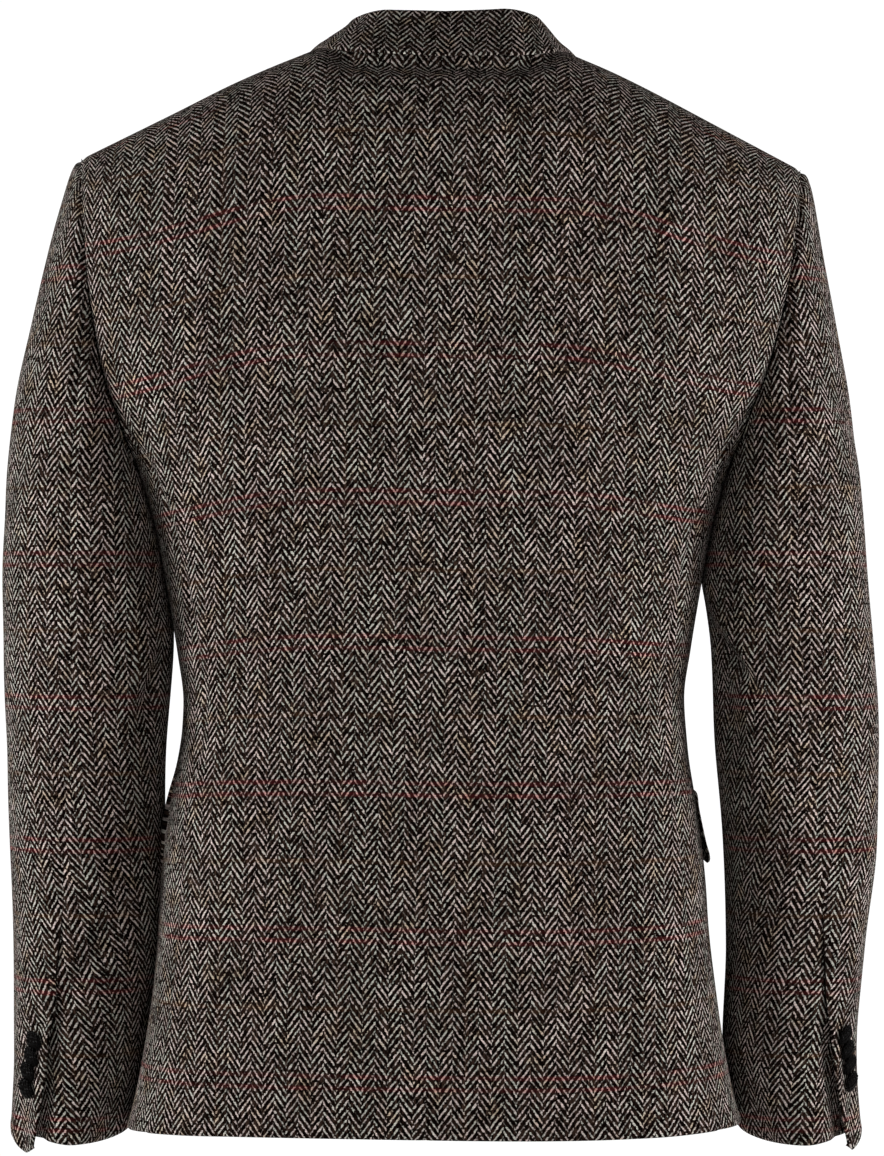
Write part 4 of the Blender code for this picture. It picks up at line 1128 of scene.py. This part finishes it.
def makeTopSleeve(side):
    def surface(u, v):
        along = rowsDown(v)
        gap = cloth["seam"] / sleeve["width"]
        turn = mix(hindarm(side, along) - gap, sleeve["forearmSeam"] - math.tau + gap, u)
        point = sleevePoint(side, turn, along)
        low = ease((along - cuff["tabStarts"]) / (1 - cuff["tabStarts"]))
        beside = (u - cuff["tabTip"]) / (cuff["tabEnds"][u > cuff["tabTip"]] - cuff["tabTip"])
        if low and (beside < 1 or u < cuff["tabTip"]):
            down = (point - sleevePoint(side, turn, along - 0.02)).normalized()
            point += down * cuff["tab"] * low * (1 - beside ** 1.7)
        return point

    def lift(u, v, point):
        along = rowsDown(v)
        vent = ease((along - cuff["ventTop"] + 0.01) / 0.03)
        upTo, over = cuff["laidAcross"]
        laid = cloth["onTop"] * ease((along - cuff["ventTop"] + 0.11) / 0.06) * ease((upTo - u) / over)
        away = u * cuff["width"]
        unseamed = -edgeShape("seam", away) + edgeShape("turned", away)
        stands = cuff["stands"] * math.exp(-(away / cuff["standsReach"]) ** 2)
        return laid + vent * (unseamed + stands)

    passed = {}

    def weave(point, i, j, rowRun, climb):
        if j == 0:
            # where this column passes the head's level, and how far down the cloth that is
            heights = [surface(crowded(i / sleeve["topMesh"][0]), crowded(k / sleeve["topMesh"][1])).z
                       for k in range(sleeve["headRows"])]
            k = next((k for k, z in enumerate(heights) if z < sleeve["headLevel"]), 0)
            passed[i] = heights[k], climb[i, k]
        height, run = passed[i]
        z = point.z if point.z < sleeve["headLevel"] else height + run - climb[i, j]
        return sleeveAcross(point), z + sleeve["checkShift"]

    return makePanel(*named("top sleeve", side), surface, sleeve["topMesh"], ("seam", "seam", "seam", "turned"),
                     weave, side, lift, False)


def makeUnderSleeve(side):
    def surface(u, v):
        along = rowsDown(v)
        gap = cloth["seam"] / sleeve["width"]
        opened = cuff["ventLap"] * ease((along - cuff["ventTop"]) / 0.02)
        point = sleevePoint(side, mix(sleeve["forearmSeam"] - gap, hindarm(side, along) + gap - opened, u), along)
        low = ease((along - cuff["riseFrom"]) / (1 - cuff["riseFrom"]))
        point.z += cuff["rise"] * low * ease((u - 0.72) / 0.20)
        return point

    def lift(u, v, point):
        return -cuff["sinks"] * ease((rowsDown(v) - cuff["ventTop"]) / 0.06) * ease((u - 0.845) / 0.06)

    def weave(point, i, j, rowRun, climb):
        across = sleeveAcross(point)
        if across < 0:
            level = round(point.z * 1000)
            across += sleeveSection(level, "back")[3][-1] + sleeveSection(level, "front")[3][-1]
        return across + sleeve["seamShift"], point.z + sleeve["checkShift"]

    return makePanel(*named("under sleeve", side), surface, sleeve["underMesh"],
                     ("seam", "seam", "seam", "turned"), weave, side, lift, False)


for side, hand in hands.items():
    makeTopSleeve(side)
    makeUnderSleeve(side)
print("sleeves set in")

# pocket flaps, set on a slant
flap = {
    "length": (0.10, 1.16),  # turn from the side to its rear and front end
    "leftBack": 0.12,        # the left one starts this much further forward
    "top": (-0.4975, -0.4620),
    "drop": 0.050,
    "corner": 0.10,          # share of its length that each rounded lower corner takes
    "cornerRise": 0.014,
    "standsOff": (0.0032, 0.0008),
    "mesh": (70, 24),
}


def makeFlap(side):
    def surface(u, v):
        u = 1 - u
        u = mix(u, (1 - math.cos(math.pi * u)) / 2, 0.75)
        nearEnd = max(1 - min(u / 0.5, 1 - u) / flap["corner"], 0)
        rise = mix(0.4, 1.0, u) * flap["cornerRise"] * (1 - math.sqrt(1 - nearEnd ** 2))
        z = mix(*flap["top"], u) - (flap["drop"] - rise) * (1 - v)
        begins = flap["length"][0] + (flap["leftBack"] if side > 0 else 0.0)
        return roundSide(-mix(begins, flap["length"][1], u), z, side)

    def lift(u, v, point):
        return cloth["onTop"] + (1 - v) ** 1.5 * mix(*flap["standsOff"], 1 - u)

    return makePanel(*named("pocket flap", side), surface, flap["mesh"], ("turned",) * 4, simpleWeave, side, lift)


for side, hand in hands.items():
    makeFlap(side)
print("flaps sewn on")

# buttons of knotted leather
knot = {
    "frontRadius": 0.0105,
    "cuffRadius": 0.0066,
    "cuffTilt": math.radians(14),
    "sunk": 0.0003,
    "flat": 0.413,           # height of the dome for its radius
    "under": math.radians(118),  # how far the dome turns under
    "body": 0.93,            # radius inside the straps
    "strap": 0.50,           # width, as a turn on the dome
    "strapTurn": 0.3,
    "relief": 0.24,
    "tucked": 0.25,          # height of a strap where it goes under another
    "mesh": 64,
    "leather": (0.0022, 0.0018, 0.0017),
    "roughness": 0.22,
    "specular": 0.045,
    "grain": 1800,
    "bump": (0.35, 0.0002),
}


def makeLeather():
    material = newMaterial("leather", knot["leather"], knot["roughness"], knot["specular"])
    nodes, links = material.node_tree.nodes, material.node_tree.links
    place = nodes.new("ShaderNodeTexCoord")
    grain = nodes.new("ShaderNodeTexNoise")
    grain.inputs["Scale"].default_value = knot["grain"]
    links.new(place.outputs["Object"], grain.inputs["Vector"])
    addRelief(material.node_tree, grain.outputs[0], *knot["bump"])
    return material


def strapHeight(a, b):
    # straps woven over and under each other, 0 in the grooves and 1 along a strap's middle
    width = knot["strap"]
    column, row = round(a / width), round(b / width)
    besideA, besideB = a / width - column, b / width - row
    across, along = (besideB, besideA) if (column + row) % 2 == 0 else (besideA, besideB)
    bowed = mix(knot["tucked"], 1.0, math.cos(math.pi * along))
    return math.sqrt(max(1 - 4 * across * across, 0)) * bowed


def makeButton(name, node, cover, radius, tilt, up):
    # it sits on the cover where the node's button does, its top tipped down toward the hem
    low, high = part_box(node)
    tree = BVHTree.FromPolygons([v.co for v in cover.data.vertices], [p.vertices[:] for p in cover.data.polygons])
    seat, out = tree.find_nearest((low + high) / 2)[:2]
    across = up.cross(out).normalized()
    upward = out.cross(across).normalized()
    face = out * math.cos(tilt) - upward * math.sin(tilt)
    rise = across.cross(face).normalized()
    centre = seat + out * (math.sin(tilt) * radius * math.sin(knot["under"]) - knot["sunk"])

    mesh = bmesh.new()
    bmesh.ops.create_grid(mesh, x_segments=knot["mesh"], y_segments=knot["mesh"], size=1.0)
    height = radius * knot["flat"]
    for vertex in mesh.verts:
        a, b = vertex.co.x, vertex.co.y
        a, b = a * math.sqrt(1 - b * b / 2), b * math.sqrt(1 - a * a / 2)
        bend = min(math.hypot(a, b), 1.0) * knot["under"]
        turn = math.atan2(b, a)
        crossed = turn + knot["strapTurn"]
        strap = strapHeight(bend * math.cos(crossed), bend * math.sin(crossed))
        swell = 1 + knot["relief"] * strap * ease((knot["under"] - bend) / 0.25)
        flat = Vector((math.sin(bend) * math.cos(turn), math.sin(bend) * math.sin(turn)))
        flat *= radius * swell * knot["body"]
        lift = height * (math.cos(bend) * swell - math.cos(knot["under"]))
        vertex.co = centre + across * flat.x + rise * flat.y + face * lift
    bmesh.ops.holes_fill(mesh, edges=[edge for edge in mesh.edges if edge.is_boundary], sides=0)
    bmesh.ops.recalc_face_normals(mesh, faces=mesh.faces[:])
    standFor(addObject(name, mesh, leather), node)


leather = makeLeather()
for number in (1, 2):
    makeButton(f"frontButton{number}", f"front_button_{number}", bpy.data.objects["frontLeft"], knot["frontRadius"],
               0.0, Vector((0, 0, 1)))
for hand in ("Left", "Right"):
    ends = [sum(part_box(f"cuff_button_{hand.lower()}_{number}"), Vector()) / 2 for number in (1, 4)]
    for number in range(1, 5):
        makeButton(f"cuffButton{hand}{number}", f"cuff_button_{hand.lower()}_{number}",
                   bpy.data.objects["topSleeve" + hand], knot["cuffRadius"], knot["cuffTilt"], ends[0] - ends[1])
print("buttons knotted")

# floor, light and camera
studio = {
    "imageWidth": 884,
    "sensor": 36,
    "distance": 3.1,
    "aim": (-0.0054, -0.35),
    "pixels": 1480.0,        # to the metre at the middle of the coat
    "floor": -1.50,          # under a standing wearer's feet
    "floorRadius": 6.0,
    "floorColour": (0.92, 0.92, 0.92),
    # brightness of the surroundings, from straight below to straight above
    "around": ((0.28, 0.02), (0.44, 1.06), (0.57, 1.06), (0.74, 0.08)),
    # share of it by how far a direction points backward, round a white backdrop in front of the coat
    "facing": ((0.0, 0.18), (0.75, 0.22), (0.90, 1.05), (1.0, 1.99)),
    "backdrop": (-0.978, -0.983),
    "backdropLight": 1.05,
    "softLight": 4.0,
    "lamps": [
        # place, size, power
        ((1.60, 0.58, -0.33), 0.6, 21),
        ((-1.60, 0.58, -0.33), 0.6, 21),
        ((-0.6, -2.4, 0.9), 1.6, 22),
    ],
    "lampsAim": (0, 0, -0.35),
}


def makeStudio():
    mesh = bmesh.new()
    bmesh.ops.create_circle(mesh, cap_ends=True, segments=64, radius=studio["floorRadius"])
    bmesh.ops.translate(mesh, verts=mesh.verts[:], vec=(0, 0, studio["floor"]))
    addObject("floor", mesh, newMaterial("palePaint", studio["floorColour"], 1.0, 0.5))

    world = bpy.data.worlds.new("studio")
    world.use_nodes = True
    nodes, links = world.node_tree.nodes, world.node_tree.links
    calc = functools.partial(maths, world.node_tree)
    direction = nodes.new("ShaderNodeTexCoord")
    split = nodes.new("ShaderNodeSeparateXYZ")
    links.new(direction.outputs["Generated"], split.inputs[0])

    def graded(source, places):
        # the source from -1 to 1 through a curve
        rise, ramp = nodes.new("ShaderNodeMapRange"), nodes.new("ShaderNodeFloatCurve")
        rise.inputs["From Min"].default_value = -1.0
        links.new(source, rise.inputs["Value"])
        links.new(rise.outputs[0], ramp.inputs["Value"])
        line = ramp.mapping.curves[0]
        line.points[0].location = (0.0, places[0][1] / 2)
        line.points[1].location = (1.0, places[-1][1] / 2)
        for place, strength in places:
            if 0 < place < 1:
                line.points.new(place, strength / 2)
        ramp.mapping.update()
        return ramp.outputs[0]

    backdrop = nodes.new("ShaderNodeMapRange")
    links.new(split.outputs[1], backdrop.inputs["Value"])
    for socket, value in zip(list(backdrop.inputs)[1:], (*studio["backdrop"], 0.0, studio["backdropLight"])):
        socket.default_value = value
    soft = calc("MULTIPLY", graded(split.outputs[2], studio["around"]), graded(split.outputs[1], studio["facing"]))
    soft = calc("MULTIPLY", soft, studio["softLight"])
    links.new(calc("MAXIMUM", soft, backdrop.outputs[0]), nodes["Background"].inputs["Strength"])
    nodes["Background"].inputs["Color"].default_value = (1, 1, 1, 1)
    bpy.context.scene.world = world

    for number, (place, size, power) in enumerate(studio["lamps"], 1):
        light = bpy.data.lights.new(f"softLamp{number}", "AREA")
        light.size = size
        light.energy = power
        lamp = bpy.data.objects.new(f"softLamp{number}", light)
        lamp.location = place
        lamp.rotation_euler = (Vector(studio["lampsAim"]) - Vector(place)).to_track_quat("-Z", "Y").to_euler()
        bpy.context.scene.collection.objects.link(lamp)

    lens = bpy.data.cameras.new("camera")
    lens.sensor_fit = "HORIZONTAL"
    lens.sensor_width = studio["sensor"]
    lens.lens = studio["sensor"] * studio["pixels"] * studio["distance"] / studio["imageWidth"]
    lens.clip_end = 100
    camera = bpy.data.objects.new("camera", lens)
    camera.location = (studio["aim"][0], studio["distance"], studio["aim"][1])
    camera.rotation_euler = (math.pi / 2, 0, math.pi)
    bpy.context.scene.collection.objects.link(camera)
    bpy.context.scene.camera = camera
    bpy.context.scene.view_settings.view_transform = "Standard"


makeStudio()
print("studio set")
